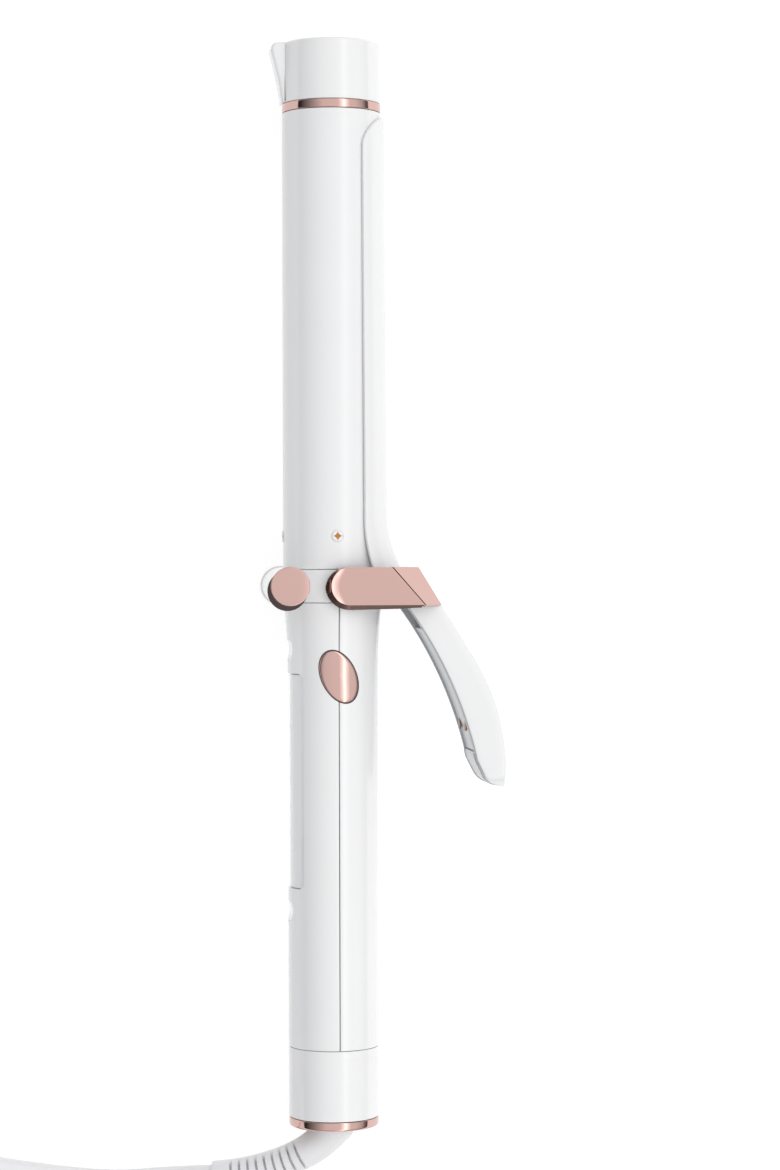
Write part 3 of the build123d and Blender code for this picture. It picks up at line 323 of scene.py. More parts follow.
brass = plated("brass", (0.78, 0.60, 0.30), (0.70, 0.52, 0.25), 0.22)
dress(brass, "plug_blades", "slip_rings", "brush_contacts")

# The tie is a flat woven strap that goes once round the coil's turns and holds them together. Its
# rounded rectangle is carried along a rounded loop.


def rounded(corners, radii, steps=6):
    """Line through corners with an arc at each inner corner: it starts and ends where the circle
    touches the two sides, and goes round evenly between them."""
    corners = np.asarray(corners, float)
    line = [corners[:1]]
    for before, corner, after, radius in zip(corners, corners[1:], corners[2:], radii):
        u = (before - corner) / norm(before - corner)
        w = (after - corner) / norm(after - corner)
        half = np.arccos(np.clip(u @ w, -1, 1)) / 2
        if radius <= 0 or half > np.pi / 2 - 1e-3:
            line.append(corner[None])
            continue
        centre = corner + (u + w) / norm(u + w) * radius / np.sin(half)
        start, end = (corner + side * radius / np.tan(half) - centre for side in (u, w))
        t, turn = np.linspace(0, 1, steps + 1)[:, None], np.pi - 2 * half
        line.append(centre + (np.sin((1 - t) * turn) * start + np.sin(t * turn) * end) / np.sin(turn))
    line.append(corners[-1:])
    return np.vstack(line)


def looped(start, corners, radii, steps=6):
    """Closed line that starts on a side, with an arc at every corner."""
    return rounded([start, *corners, start], radii, steps)[:-1]


def outward(line, closed=False):
    """Unit normals to the right of a flat line, from the step between each point's neighbours."""
    ahead, behind = np.roll(line, -1, axis=0), np.roll(line, 1, axis=0)
    step = ahead - behind if closed else np.gradient(line, axis=0)
    return np.c_[step[:, 1], -step[:, 0]] / norm(step, axis=1)[:, None]


tie_inside, tie_outside, tie_low, tie_high, tie_round = -118.1, -93.6, -19.75, 7.35, 2.0
tie_half_width, tie_half_thick, tie_edge = 6.0, 0.45, 0.3
tie_corners = [
    (tie_outside, tie_low), (tie_outside, tie_high), (tie_inside, tie_high), (tie_inside, tie_low)
]
tie_loop = looped((-102.0, tie_low), tie_corners, [tie_round] * 4)
tie_corners = np.array([(-1, 1), (1, 1), (1, -1), (-1, -1)]) * (tie_half_width, tie_half_thick)
tie_section = looped((-tie_half_width, 0.0), tie_corners, [tie_edge] * 4, 3)
tie_yz = tie_loop[:, None] + outward(tie_loop, True)[:, None] * tie_section[None, :, 1:]
tie_grid = points(coil_middle[0] + tie_section[:, 0], tie_yz[..., 0], tie_yz[..., 1])
tie_closed = np.concatenate([tie_grid, tie_grid[:1]])
strap_finish = Finish("woven_strap")
strap_sockets = {"Vector": strap_finish.where(), "Scale": 700.0, "Distortion": 1.0}
strap_weave = strap_finish.node("TexWave", {"bands_direction": "DIAGONAL"}, strap_sockets, "Fac")
woven_strap = strap_finish.shade(
    Base_Color=strap_finish.mix(strap_weave, (0.72, 0.72, 0.73), (0.82, 0.82, 0.83)),
    Roughness=0.7 + 0.15 * strap_weave,
    Normal=strap_finish.bump(strap_weave, 0.4, 0.0002),
)
lead_strap = skin("lead_strap", tie_closed[:, ::-1], woven_strap, "lead", "strap", ["cord_tie"])

# The cord's exit is one supple moulding: a wide neck that turns in the end ring, a plain elbow, and
# a tapering tail with cross slots cut from the front and the back so that it can bend.


def held(value):
    """A value kept between 0 and 1."""
    return np.clip(value, 0.0, 1.0)


slot_start, slot_pitch, slot_count, slot_depth, slot_half, slot_slope = 14.6, 2.9, 9, 2.2, 0.46, 0.08
slot_face_from, slot_face_ease = 0.36, 0.2
slot_places = slot_start + slot_pitch * np.arange(slot_count)
slot_edge = np.array([0.2, slot_half - slot_slope, slot_half, 0.8])
slot_rows = (slot_places[:, None] + np.r_[-slot_edge[::-1], 0.0, slot_edge]).ravel()
sleeve_end = sleeve_length - np.array([4.5, 2.5, 0.5, 0.15, 0.0])
sleeve_runs = np.r_[np.linspace(-4.0, 13.6, 40), slot_rows, sleeve_end]
sleeve_radius = np.interp(
    sleeve_runs,
    [-4.0, 0.0, 2.0, 4.5, 8.0, 14.0, 36.0, 43.9, 44.35, 44.5],
    [6.7, 7.0, 6.35, 5.75, 5.35, 5.15, 4.45, 4.25, 4.1, 3.6],
)
sleeve_a = full_turn(96)
sleeve_point, sleeve_heading = sleeve_line(sleeve_runs)
sleeve_front = np.cross(sleeve_aside, (0.0, 1.0, 0.0))
sleeve_front = sleeve_front * np.sign(sleeve_front[2])
sleeve_upper = np.cross(sleeve_heading, sleeve_front)
slot_off = np.abs(sleeve_runs[:, None] - slot_places).min(axis=1)
slot_cut = held((slot_half - slot_off) / slot_slope)[:, None]
slot_face = held((np.abs(np.cos(sleeve_a)) - slot_face_from) / slot_face_ease)
sleeve_r = (sleeve_radius[:, None] - slot_depth * slot_cut * slot_face)[..., None]
sleeve_cos, sleeve_sin = np.cos(sleeve_a)[None, :, None], np.sin(sleeve_a)[None, :, None]
sleeve_ring = sleeve_cos * sleeve_front + sleeve_sin * sleeve_upper[:, None]
sleeve_grid = sleeve_point[:, None] + sleeve_r * sleeve_ring
cord_sleeve = skin(
    "cord_sleeve", sleeve_grid, white_cord, "lead", "cord_white", ["strain_relief"], caps=(True, True)
)

# The barrel is an aluminium tube with a smooth white coat. Its rims are slightly rounded, which
# leaves fine seams at the collar and under the tip.


def moulded(name, colour, rough, coat):
    """Glossy white: a faint cloud in the colour, another in the gloss, and orange peel."""
    finish = Finish(name, Coat_Roughness=0.08, IOR=1.47)
    cloud, peel = finish.noise(45.0, 3.0), finish.noise(900.0)
    return finish.shade(
        Base_Color=finish.mix(cloud, colour, tuple(0.97 * c for c in colour)),
        Roughness=rough + 0.06 * cloud,
        Coat_Weight=coat - 0.1 * cloud,
        Normal=finish.bump(peel, 0.025, 0.0002),
    )


def turned(name, line, material, slot, nodes, caps=(False, False), count=160):
    """Turned piece: a line of radius and height carried round the barrel's axis."""
    a = full_turn(count)
    r, y = line[:, :1], line[:, 1:]
    return skin(name, points(r * np.sin(a), y, r * np.cos(a)), material, "iron", slot, nodes, caps=caps)


def hoop(inner, outer, low, high, edge, top_inner=None, top_edge=None):
    """Line over a ring's section: from the bore, round the outside with two round corners, and in."""
    corners = [(inner, low), (outer, low), (outer, high), (top_inner or inner, high)]
    return rounded(corners, [edge, top_edge or edge])


coat_white = moulded("coat_white", (0.86, 0.862, 0.868), 0.22, 0.35)
barrel_radius, barrel_bore, barrel_seat = 15.875, 14.7, 5.3
barrel_line = hoop(barrel_bore, barrel_radius, low=5.36, high=151.24, edge=0.35)
barrel_line = np.vstack([(barrel_bore, barrel_seat), barrel_line])
turned("barrel_shell", barrel_line, coat_white, "barrel_coat", ["barrel_tube"])

# A polished rose-gold ring closes the barrel under the tip, with thin rounded edges.
rose_gold = plated("rose_gold", (0.63, 0.42, 0.38), (0.60, 0.40, 0.36), 0.06)
ring_line = hoop(inner=13.7, outer=15.85, low=151.38, high=154.12, edge=0.25)
turned("tip_band", ring_line, rose_gold, "rose_gold", ["tip_ring"])

# The cool tip is a white moulded cap. A rounded foot stands out on the side away from the lever,
# so that the iron can lie down without the barrel touching the table.
shell_white = moulded("shell_white", (0.865, 0.867, 0.872), 0.16, 0.5)
tip_line = hoop(inner=13.7, outer=15.8, low=154.24, high=173.6, edge=0.25, top_inner=4.0, top_edge=1.0)
turned("tip_cap", tip_line, shell_white, "white_gloss", ["cool_tip"], caps=(False, True))
foot_root, foot_low, foot_top = -14.2, 154.35, 173.55
foot_corners = [
    (foot_root, foot_low), (-16.35, foot_low), (-17.1, 160.0),
    (-18.7, 166.6), (-20.4, foot_top), (foot_root, foot_top),
]
foot_outline = looped((foot_root, 165.0), foot_corners, [0.0, 0.15, 20.0, 20.0, 2.4, 0.0], 8)
foot_edge, foot_half = 1.2, 4.5
foot_turn = np.linspace(0, np.pi / 2, 7)
foot_inset = foot_edge * (1 - np.sin(foot_turn))
foot_level = foot_half - foot_edge * (1 - np.cos(foot_turn))
foot_inset, foot_level = np.r_[foot_inset, foot_inset[::-1]], np.r_[-foot_level, foot_level[::-1]]
foot_away = outward(foot_outline, True)
foot_xy = foot_outline[None] + foot_inset[:, None, None] * foot_away[None]
foot_grid = points(foot_xy[..., 0], foot_xy[..., 1], foot_level[:, None])
skin("tip_foot", foot_grid[:, ::-1], shell_white, "iron", "white_gloss", caps=(True, True))

# Three screws hold the barrel on the collar. Their low domed heads are coated white, and the cross
# recess shows bare brass.
screw_head, screw_height, dome_rise, dome_fall, rim_from, rim_drop = 2.0, 15.9, 0.34, 0.03, 1.7, 0.4
cross_size, cross_slope, cross_depth, glint_radius, glint_half, glint_share = 1.3, 0.1, 0.26, 1.8, 0.12, 0.4
screw_r = np.linspace(0.02, 1, 40)[:, None] * screw_head
screw_a = full_turn(96)
screw_u, screw_v = screw_r * np.cos(screw_a), screw_r * np.sin(screw_a)
screw_cross = np.abs(screw_u) ** 0.7 + np.abs(screw_v) ** 0.7
screw_recess = held((cross_size - screw_cross) / cross_slope)
# A thin ring near the head's edge is mixed towards brass: a painted highlight on the head's rim.
screw_rim_glint = held(1 - np.abs(screw_r - glint_radius) / glint_half)
screw_brass_and_glint = screw_recess + glint_share * screw_rim_glint
screw_rim = held((screw_r - rim_from) / (screw_head - rim_from)) ** 2
screw_dome = barrel_radius + dome_rise - dome_fall * screw_r**2
screw_top = screw_dome - cross_depth * screw_recess - rim_drop * screw_rim
screw_finish = Finish("screw_coat", IOR=1.48)
screw_brass_glint_mask = screw_finish.node("Attribute", {"attribute_name": "recess"}, {}, "Fac")
screw_cloud = screw_finish.noise(300.0)
screw_coat = screw_finish.shade(
    Base_Color=screw_finish.mix(screw_brass_glint_mask, (0.865, 0.867, 0.872), (0.50, 0.20, 0.045)),
    Metallic=0.75 * screw_brass_glint_mask,
    Roughness=0.2 + 0.12 * screw_cloud,
)
for screw_side, screw_turn in (("near", 0.0), ("back", -np.pi / 2), ("far", np.pi)):
    screw_x = screw_u * np.cos(screw_turn) + screw_top * np.sin(screw_turn)
    screw_z = screw_top * np.cos(screw_turn) - screw_u * np.sin(screw_turn)
    screw_grid = points(screw_x, screw_height + screw_v, screw_z)[:, ::-1]
    screw_nodes = ["barrel_screws"] if screw_side == "near" else []
    screw_name = f"barrel_screw_{screw_side}"
    screw = skin(screw_name, screw_grid, screw_coat, "iron", "brass", screw_nodes, caps=(True, False))
    # The recess field holds the bare brass cross and the painted rim highlight together.
    screw_field = screw.data.attributes.new("recess", "FLOAT", "POINT")
    screw_field.data.foreach_set("value", screw_brass_and_glint[:, ::-1].ravel())

# The collar between barrel and handle is a white ring that carries the hinge's pivot bosses.
collar_line = hoop(inner=12.3, outer=barrel_radius, low=-5.2, high=5.2, edge=0.3)
turned("collar_ring", collar_line, shell_white, "white_gloss", ["hinge_collar"])


def pair(name, grid, material, body, slot, nodes=(), sides=("near", "far"), **how):
    """A piece on the near side, and its mirror on the far side."""
    for side in sides:
        here = grid if side == "near" else (grid * (1, 1, -1))[:, ::-1]
        skin(f"{name}_{side}", here, material, body, slot, nodes if side == "near" else (), **how)


def turned_z(name, line, place, slot, material, nodes=(), lean=0.0, **how):
    """Turned pieces across the barrel: a line of radius and level carried round a place. Each row may
    slip aside by its lean."""
    a = full_turn(128)
    aside = np.array([[-0.5, -0.87]])
    centre = np.asarray(place, float) + np.asarray(lean, float).reshape(-1, 1) * aside
    r, z = line[:, :1], line[:, 1:]
    grid = points(centre[:, :1] + r * np.cos(a), centre[:, 1:] + r * np.sin(a), z)
    pair(name, grid, material, "iron", slot, nodes, **how)


pivot_x, boss_radius, boss_root, boss_face, boss_hole = 3.6, 3.4, 12.0, 17.45, 1.8
boss_line = rounded([(boss_radius, boss_root), (boss_radius, boss_face), (boss_hole, boss_face)], [0.2])
turned_z("pivot_boss", boss_line, (pivot_x, 0.0), "white_gloss", shell_white)

# The rest bar crosses the back of the collar: a white tube with a neck and a polished disc at each
# end. The neck on the side that shows is painted dark brown for the shade and dark reflection on the
# wall under its disc, and leans out towards the handle.
bar_place, bar_radius, bar_reach = (-15.4, 0.0), 6.0, 17.7
bar_line = np.array([(bar_radius, -0.02), (bar_radius, bar_reach)])
turned_z("rest_bar_half", bar_line, bar_place, "white_gloss", shell_white, ["rest_bar"])


def grained(name, colour, other, rough, scale, gain=0.12, detail=3.0, raised=0.05, **fixed):
    """Plain working finish: two colours by a noise, with the same grain in the gloss and the height."""
    finish = Finish(name, **fixed)
    grain = finish.noise(scale, detail)
    if raised:
        finish.shade(Normal=finish.bump(grain, raised, 0.0002))
    return finish.shade(Base_Color=finish.mix(grain, colour, other), Roughness=rough + gain * grain)


# Painted shade: a dark brown for the shaded, dark-reflecting wall under the near disc and the inlay's edge.
painted_shade_brown = grained(
    "painted_shade_brown", (0.075, 0.055, 0.052), (0.10, 0.075, 0.07), 0.5, 400.0, 0.1, 2.0, 0.0, IOR=1.15
)
neck_line = rounded([(5.6, 17.6), (6.3, 17.7), (6.35, 18.3), (6.15, 19.8), (5.6, 19.85)], [0.2, 0.15, 0.1])
neck_lean = np.interp(neck_line[:, 1], [17.6, 18.3, 19.8], [1.6, 1.6, 0.0])
turned_z("rest_neck", neck_line, bar_place, "rose_gold", painted_shade_brown, lean=neck_lean, sides=["near"])
turned_z("rest_neck", neck_line, bar_place, "white_gloss", shell_white, sides=["far"])
disc_line = hoop(inner=5.6, outer=6.2, low=19.7, high=20.2, edge=0.12, top_inner=1.0, top_edge=0.28)
turned_z("rest_disc", disc_line, bar_place, "rose_gold", rose_gold, ["rest_bar_caps"], caps=(False, True))

# The handle is two white glossy shells that meet in a straight seam. It flares out to the collar,
# and the right shell has the sunk holes of the two handle screws.
handle_radius, flare_rise, flare_run, handle_top, handle_low = 14.5, 1.2, 23.0, -5.36, -147.55
seam_x, seam_half, lip_round = 0.5, 0.12, 0.3
lip_steps = np.array([0.0, 0.02, 0.06, 0.12, 0.2, lip_round])
flare_bow = (flare_rise**2 + flare_run**2) / (2 * flare_rise)


def handle_reach(y):
    """Handle radius at a height: straight, then a circular flare up to the collar."""
    up = np.clip(y - (handle_top - flare_run), 0.0, flare_run)
    return handle_radius + flare_bow - np.sqrt(flare_bow**2 - up**2)


def shell_reach(y, around):
    """Radius over heights and angles, with a quarter circle at both ends and at the seam."""
    rim = np.minimum(y - handle_low, handle_top - y)[:, None] / lip_round
    lip = (np.abs(np.sin(around) * handle_radius - seam_x) - seam_half)[None] / lip_round
    soft = [1 - np.sqrt(1 - held(1 - edge) ** 2) for edge in (rim, lip)]
    return handle_reach(y)[:, None] - lip_round * (soft[0] + soft[1])


def shell(side, y, around, radius):
    """One side's shell from seam to seam, with both lips turned in along the seam's planes."""
    grid = points(radius * np.sin(around), y[:, None], radius * np.cos(around))
    inward = np.array([1.0, 1.0, 0.86])
    grid = np.concatenate([grid[:, :1] * inward, grid, grid[:, -1:] * inward], axis=1)
    skin(f"handle_{side}", grid, shell_white, "iron", "white_gloss", [f"handle_shell_{side}"], False)


def rows_between(low, high, step):
    """Even steps from a low to a high value."""
    return np.arange(low, high + step / 2, step)


hole_heights, hole_radius, hole_depth, hole_slope = (-33.0, -137.0), 2.15, 1.6, 0.13
hole_field, hole_step = 2.4, 0.12
right_y = np.unique(np.round(np.r_[
    handle_low + lip_steps, rows_between(handle_low + 2, handle_top - 1, 1.6), handle_top - lip_steps,
    *(rows_between(height - hole_field, height + hole_field, hole_step) for height in hole_heights),
], 4))
right_seam = np.arcsin((seam_x + seam_half + lip_steps) / handle_radius)
right_hole = np.arcsin(rows_between(0.0, hole_field, hole_step) / handle_radius)
right_a = np.unique(np.round(np.r_[
    right_seam, np.pi - right_seam, np.linspace(0.09, np.pi - 0.09, 60),
    np.pi / 2 + right_hole, np.pi / 2 - right_hole,
], 6))
right_r = shell_reach(right_y, right_a)
for height in hole_heights:
    hole_off = np.hypot(right_y[:, None] - height, right_r * np.cos(right_a))
    right_r = right_r - hole_depth * held((hole_radius - hole_off) / hole_slope)
shell("right", right_y, right_a, right_r)

# The left shell also holds the controls: a long sunk panel, and a finger dish with an oval opening
# over each of the two buttons.
panel_high, panel_low, panel_half, panel_corner, panel_sink = -28.0, -96.6, 10.0, 2.2, 0.6
panel_recess, panel_slope, fine_step = 1.5, 0.13, 0.13
button_heights, button_tall, button_wide, button_gap = (-20.5, -104.0), 3.4, 5.2, 0.12
opening_depth, opening_slope, dish_depth, dish_half, beyond = 2.6, 0.035, 1.0, 3.5, 99.0
dish_radius = (dish_half**2 + dish_depth**2) / (2 * dish_depth)


def dish_floor(y, middle):
    """Distance of a finger dish from the axis: a hollow cylinder across the handle."""
    drop = np.sqrt(np.maximum(0.0, dish_radius**2 - (y - middle) ** 2))
    return handle_radius - dish_depth + dish_radius - drop


left_y = np.unique(np.round(np.r_[
    handle_low + lip_steps, rows_between(handle_low + 3, handle_top - 1, 2.6), handle_top - lip_steps,
    *(rows_between(middle - 4.2, middle + 4.2, 0.12) for middle in button_heights),
    rows_between(panel_low - 0.3, panel_low + 2.6, 0.14),
    rows_between(panel_high - 2.6, panel_high + 0.3, 0.14),
], 4))
left_lift = np.r_[
    rows_between(0.0, 5.8, fine_step), 6.2, 6.6, 7.0, rows_between(7.4, 10.4, fine_step),
    10.8, 11.4, 12.0, 12.7, 13.3, 13.8, 14.15, 14.35, 14.45,
]
left_tilt = np.arcsin(left_lift / handle_radius)
left_seam = np.arcsin((seam_x - seam_half - lip_steps) / handle_radius)
left_a = np.r_[-np.pi / 2 - left_tilt, -np.pi / 2 + left_tilt, left_seam, -np.pi - left_seam]
left_a = np.unique(np.round(left_a, 6))
left_a = left_a[(left_a >= -np.pi - left_seam[0] - 1e-5) & (left_a <= left_seam[0] + 1e-5)]
left_r = shell_reach(left_y, left_a)
left_z, left_rows = left_r * np.cos(left_a), left_y[:, None]
left_facing = np.maximum(1e-3, -np.sin(left_a))[None]
left_front = left_facing > 0.3
for middle in button_heights:
    dish_rows = np.abs(left_rows - middle) < dish_half + 0.6
    dish = np.where(dish_rows & left_front, dish_floor(left_rows, middle) / left_facing, beyond)
    left_r = np.minimum(left_r, dish)
    oval = np.hypot((left_rows - middle) / (button_tall + button_gap), left_z / (button_wide + button_gap))
    left_r = left_r - opening_depth * held((1.0 - oval) / opening_slope) * left_front
panel_middle, panel_reach = (panel_high + panel_low) / 2, (panel_high - panel_low) / 2
panel_dy = np.abs(left_rows - panel_middle) - (panel_reach - panel_corner)
panel_dz = np.abs(left_z) - (panel_half - panel_corner)
panel_past = np.hypot(np.maximum(panel_dy, 0), np.maximum(panel_dz, 0))
panel_out = panel_past + np.minimum(np.maximum(panel_dy, panel_dz), 0) - panel_corner
left_r = left_r - panel_recess * held(-panel_out / panel_slope) * left_front
shell("left", left_y, left_a, left_r)

# The control panel is a curved glossy strip sunk into the left shell, with a row of light guides
# that shine through small round windows.
panel_gap, panel_face, panel_round, panel_thick = 0.22, handle_radius - panel_sink, 0.2, 0.9
panel_t = np.r_[-1.0, np.sin(np.linspace(-np.pi / 2, np.pi / 2, 121)), 1.0]
panel_s = np.r_[-1.0, np.sin(np.linspace(-np.pi / 2, np.pi / 2, 61)), 1.0]
panel_rows = panel_middle + (panel_reach - panel_gap) * panel_t
panel_in = np.clip(panel_corner - (panel_reach - panel_gap) * (1 - np.abs(panel_t)), 0.0, panel_corner)
panel_width = panel_half - panel_gap - panel_corner + np.sqrt(panel_corner**2 - panel_in**2)
panel_z = panel_width[:, None] * panel_s
panel_edge_y = (1 - np.abs(panel_t))[:, None] * panel_reach
panel_edge = np.minimum(panel_edge_y, (1 - np.abs(panel_s))[None] * panel_half)
panel_drop = panel_round * held(1 - panel_edge / panel_round) ** 2
panel_drop[[0, -1]] = panel_thick
panel_drop[:, [0, -1]] = panel_thick
panel_x = -np.sqrt((panel_face - panel_drop) ** 2 - panel_z**2)
panel_grid = points(panel_x, panel_rows[:, None], panel_z)
panel_white = moulded("panel_white", (0.82, 0.823, 0.83), 0.1, 0.8)
skin("control_strip", panel_grid, panel_white, "iron", "panel", ["control_panel"], False)
light_guide = grained(
    "light_guide", (0.80, 0.86, 0.95), (0.92, 0.95, 1.0), 0.2, 1500.0, 0.15, 2.0, 0.0,
    IOR=1.5, Transmission_Weight=0.5,
)
dress(light_guide, "indicator_lights")

# The two buttons are dished ovals that stand just clear of their openings and press in.
button_grow = np.r_[np.linspace(0.03, 0.94, 22), 0.975, 0.995, 1.0, 1.0]
button_sink = np.r_[np.zeros(22), 0.04, 0.12, 0.3, 0.9][:, None]
button_a = full_turn(96)
button_pieces = (("heat_cap", "heat_button"), ("power_cap", "power_button"))
for (button_name, button_body), middle in zip(button_pieces, button_heights):
    button_y = middle + button_tall * button_grow[:, None] * np.cos(button_a)
    button_z = button_wide * button_grow[:, None] * np.sin(button_a)
    button_face = np.minimum(dish_floor(button_y, middle), np.sqrt(handle_radius**2 - button_z**2))
    button_grid = points(button_sink - button_face, button_y, button_z)
    skin(button_name, button_grid, shell_white, button_body, "white_gloss", [button_body], caps=(True, False))

# A bare oval inlay leans across the seam: polished rose gold, slightly domed, with a rolled edge.
inlay_lean, inlay_long, inlay_wide, inlay_height = math.radians(25.0), 8.75, 5.55, -28.7
inlay_grow = np.r_[np.linspace(0.02, 0.86, 24), 0.91, 0.95, 0.98, 1.0, 1.0][:, None]
inlay_proud = np.r_[np.linspace(0.40, 0.34, 24), 0.32, 0.27, 0.16, -0.05, -0.6][:, None]
groove_grow = np.array([0.97, 1.04, 1.04])[:, None]
groove_proud = np.array([0.05, 0.05, -0.3])[:, None]


def leaning_oval(grow, proud):
    """Rings of an oval turned by its lean and laid on the handle: each is the oval times a growth, at
    the handle's radius plus how far it stands proud."""
    u, v = inlay_wide * grow * np.cos(button_a), inlay_long * grow * np.sin(button_a)
    x = seam_x + u * np.cos(inlay_lean) - v * np.sin(inlay_lean)
    y = inlay_height + u * np.sin(inlay_lean) + v * np.cos(inlay_lean)
    return points(x, y, np.sqrt((handle_reach(y) + proud) ** 2 - x**2))[:, ::-1]


inlay_grid = leaning_oval(inlay_grow, inlay_proud)
skin("seam_inlay", inlay_grid, rose_gold, "iron", "rose_gold", ["handle_badge"], caps=(True, False))
# A thin sunk ring round the inlay is painted dark brown: painted shade along the inlay's edge.
skin("inlay_groove", leaning_oval(groove_grow, groove_proud), painted_shade_brown, "iron", "rose_gold")

# The end collar carries the cord's swivel; a rose-gold ring closes the handle around the cord.
cup_bore, band_bore, band_radius, band_top = 9.3, 7.7, 14.4, -170.28
cup_line = hoop(cup_bore, outer=14.45, low=-170.1, high=-147.68, edge=0.3, top_inner=12.3)
turned("end_cup", cup_line, shell_white, "white_gloss", ["end_collar"])
band_corners = [
    (band_bore, band_top), (band_bore, end_face), (band_radius, end_face),
    (band_radius, band_top), (cup_bore, band_top),
]
band_line = rounded(band_corners, [0.3, 0.9, 0.25])
turned("end_band", band_line, rose_gold, "rose_gold", ["end_ring"])

# The clamp is a curved white sheet that follows the barrel. Its tip has two round corners, and at
# the hinge it flares out until it meets the bracket under the cover.
face_slope, face_offset = 0.617, 29.9
face_turn = math.atan(face_slope)
plate_outer, plate_sheet, plate_half, plate_corner, plate_flare = 17.075, 0.9, 14.8, 10.0, 0.8
plate_tip, plate_bend, plate_lean, plate_curve, plate_tab = 149.5, 24.0, 0.6, 59.0, 2.9
plate_straight = math.hypot(plate_lean, plate_tip - plate_bend)
plate_first_turn = math.atan2(plate_lean, plate_tip - plate_bend)
plate_arc = plate_curve * (face_turn - plate_first_turn)
plate_runs = np.unique(np.r_[
    plate_corner * (1 - np.cos(np.linspace(0.02, np.pi / 2, 32))),
    np.linspace(plate_corner, plate_straight, 40),
    plate_straight + np.linspace(0, plate_arc, 40), plate_straight + plate_arc + plate_tab,
])


def plate_line(runs):
    """The sheet's line: straight at a small lean, then an arc to the lever's slope, then straight."""
    turn = plate_first_turn + np.clip(runs - plate_straight, 0, plate_arc) / plate_curve
    ahead = np.minimum(runs, plate_straight)
    past = np.maximum(runs - plate_straight - plate_arc, 0.0)
    sine, cosine = math.sin(plate_first_turn), math.cos(plate_first_turn)
    x = ahead * sine + plate_curve * (cosine - np.cos(turn)) + past * math.sin(face_turn)
    down = ahead * cosine + plate_curve * (np.sin(turn) - sine) + past * math.cos(face_turn)
    return x[:, None], plate_tip - down[:, None], turn[:, None]


def thickened(piece, thick, edge):
    """Gives a sheet its thickness, inwards, and a soft edge."""
    wall = piece.modifiers.new("wall", "SOLIDIFY")
    wall.thickness, wall.offset = 0.001 * thick, -1.0
    soft = piece.modifiers.new("soft_edge", "BEVEL")
    soft.width, soft.segments, soft.harden_normals = 0.001 * edge, 3, True
    soft.limit_method, soft.angle_limit = "ANGLE", math.radians(35.0)


plate_x, plate_y, plate_turn = plate_line(plate_runs)
plate_in = np.clip(plate_corner - plate_runs, 0.0, plate_corner)
plate_width = plate_half - plate_corner + np.sqrt(plate_corner**2 - plate_in**2)
plate_width = plate_width + plate_flare * held((plate_runs - plate_straight) / plate_arc)
plate_z = plate_width[:, None] * np.sin(np.linspace(-np.pi / 2, np.pi / 2, 73))
plate_lift = np.sqrt(plate_outer**2 - plate_z**2)
plate_out_x, plate_out_y = plate_lift * np.cos(plate_turn), plate_lift * np.sin(plate_turn)
plate_grid = points(plate_x + plate_out_x, plate_y + plate_out_y, plate_z)
clamp_sheet = skin("clamp_sheet", plate_grid, coat_white, "clamp", "barrel_coat", ["clamp_plate"], False)
thickened(clamp_sheet, plate_sheet, 0.2)
edge_low, edge_high = 5.5, plate_bend + 4.0
edge_inset, edge_thick, edge_gap, edge_level = 0.25, 0.8, 0.35, 3.0
edge_rows = (plate_y[:, 0] < edge_high) & (plate_grid[:, -1, 1] > edge_low)
edge_top = plate_grid[edge_rows, -1] - (edge_inset, 0.0, edge_inset)
edge_barrel = (barrel_radius + edge_gap) ** 2 - edge_top[:, 0] ** 2
edge_down = np.c_[edge_top[:, :2], np.sqrt(np.maximum(edge_level**2, edge_barrel))]
edge_back = edge_down + (edge_thick, 0.0, 0.0)
edge_inner = edge_top + (edge_thick, 0.0, -edge_thick / 2)
edge_grid = np.stack([edge_top, edge_down, edge_back, edge_inner], axis=1)
pair("clamp_edge", edge_grid, coat_white, "clamp", "barrel_coat", caps=(True, True))

# The hinge cover is one bent strip of plated metal: a flat plate on each side, rounded about the
# pivot and raised at its rim, a slanting facet from each, with a narrow flat along the fold, and the
# outer face that carries on the lever's slope.
cover_half, cover_side, cover_face_half, cover_wall = 6.0, 20.2, 12.8, 1.5
fold_offset, fold_slope = 21.95, 0.878
cover_t = cover_half * np.sin(np.linspace(-np.pi / 2, np.pi / 2, 61))
cover_end = pivot_x - np.sqrt(np.maximum(0.0, cover_half**2 - cover_t**2))
cover_fold, cover_front = fold_offset - fold_slope * cover_t, face_offset - face_slope * cover_t
cover_dish, cover_dish_run, cover_rim_fade = 0.25, 3.2, 4.5
cover_flat, cover_flat_drop = 0.65, 0.417
cover_bends = (0.1, 0.15, 0.4, 0.4, 0.15, 0.1)


def eased(before, corner, after, bend):
    """Rows round a fold: a parabola that starts and ends one bend away from the corner."""
    s = np.linspace(0, 1, 9)[:, None, None]
    ways = [(end - corner) / norm(end - corner, axis=-1)[..., None] for end in (before, after)]
    first, last = (corner + bend * way for way in ways)
    return (1 - s) ** 2 * first + 2 * s * (1 - s) * corner + s**2 * last


def folds(*lines):
    """Lines over the strip's width, each a row of points of a distance and a level."""
    return [np.stack(np.broadcast_arrays(x, z), axis=-1) for x, z in lines]


cover_run = np.r_[0.0, 0.15, 0.4, 0.8, 1.2, 1.6, 2.0, 2.4, 2.8, 3.2, 4.0, 5.0, 6.0, 7.0][:, None]
cover_level = cover_side - cover_dish


def rim_lift(x, inside):
    """Height of the raised round rim: it falls with the square of the way in, and eases out to
    nothing where the round runs into the straight edges."""
    share = held((pivot_x - x) / cover_rim_fade)
    height = cover_dish * held(1 - inside / cover_dish_run) ** 2
    return height * (share**2 * (3 - 2 * share)) ** 2


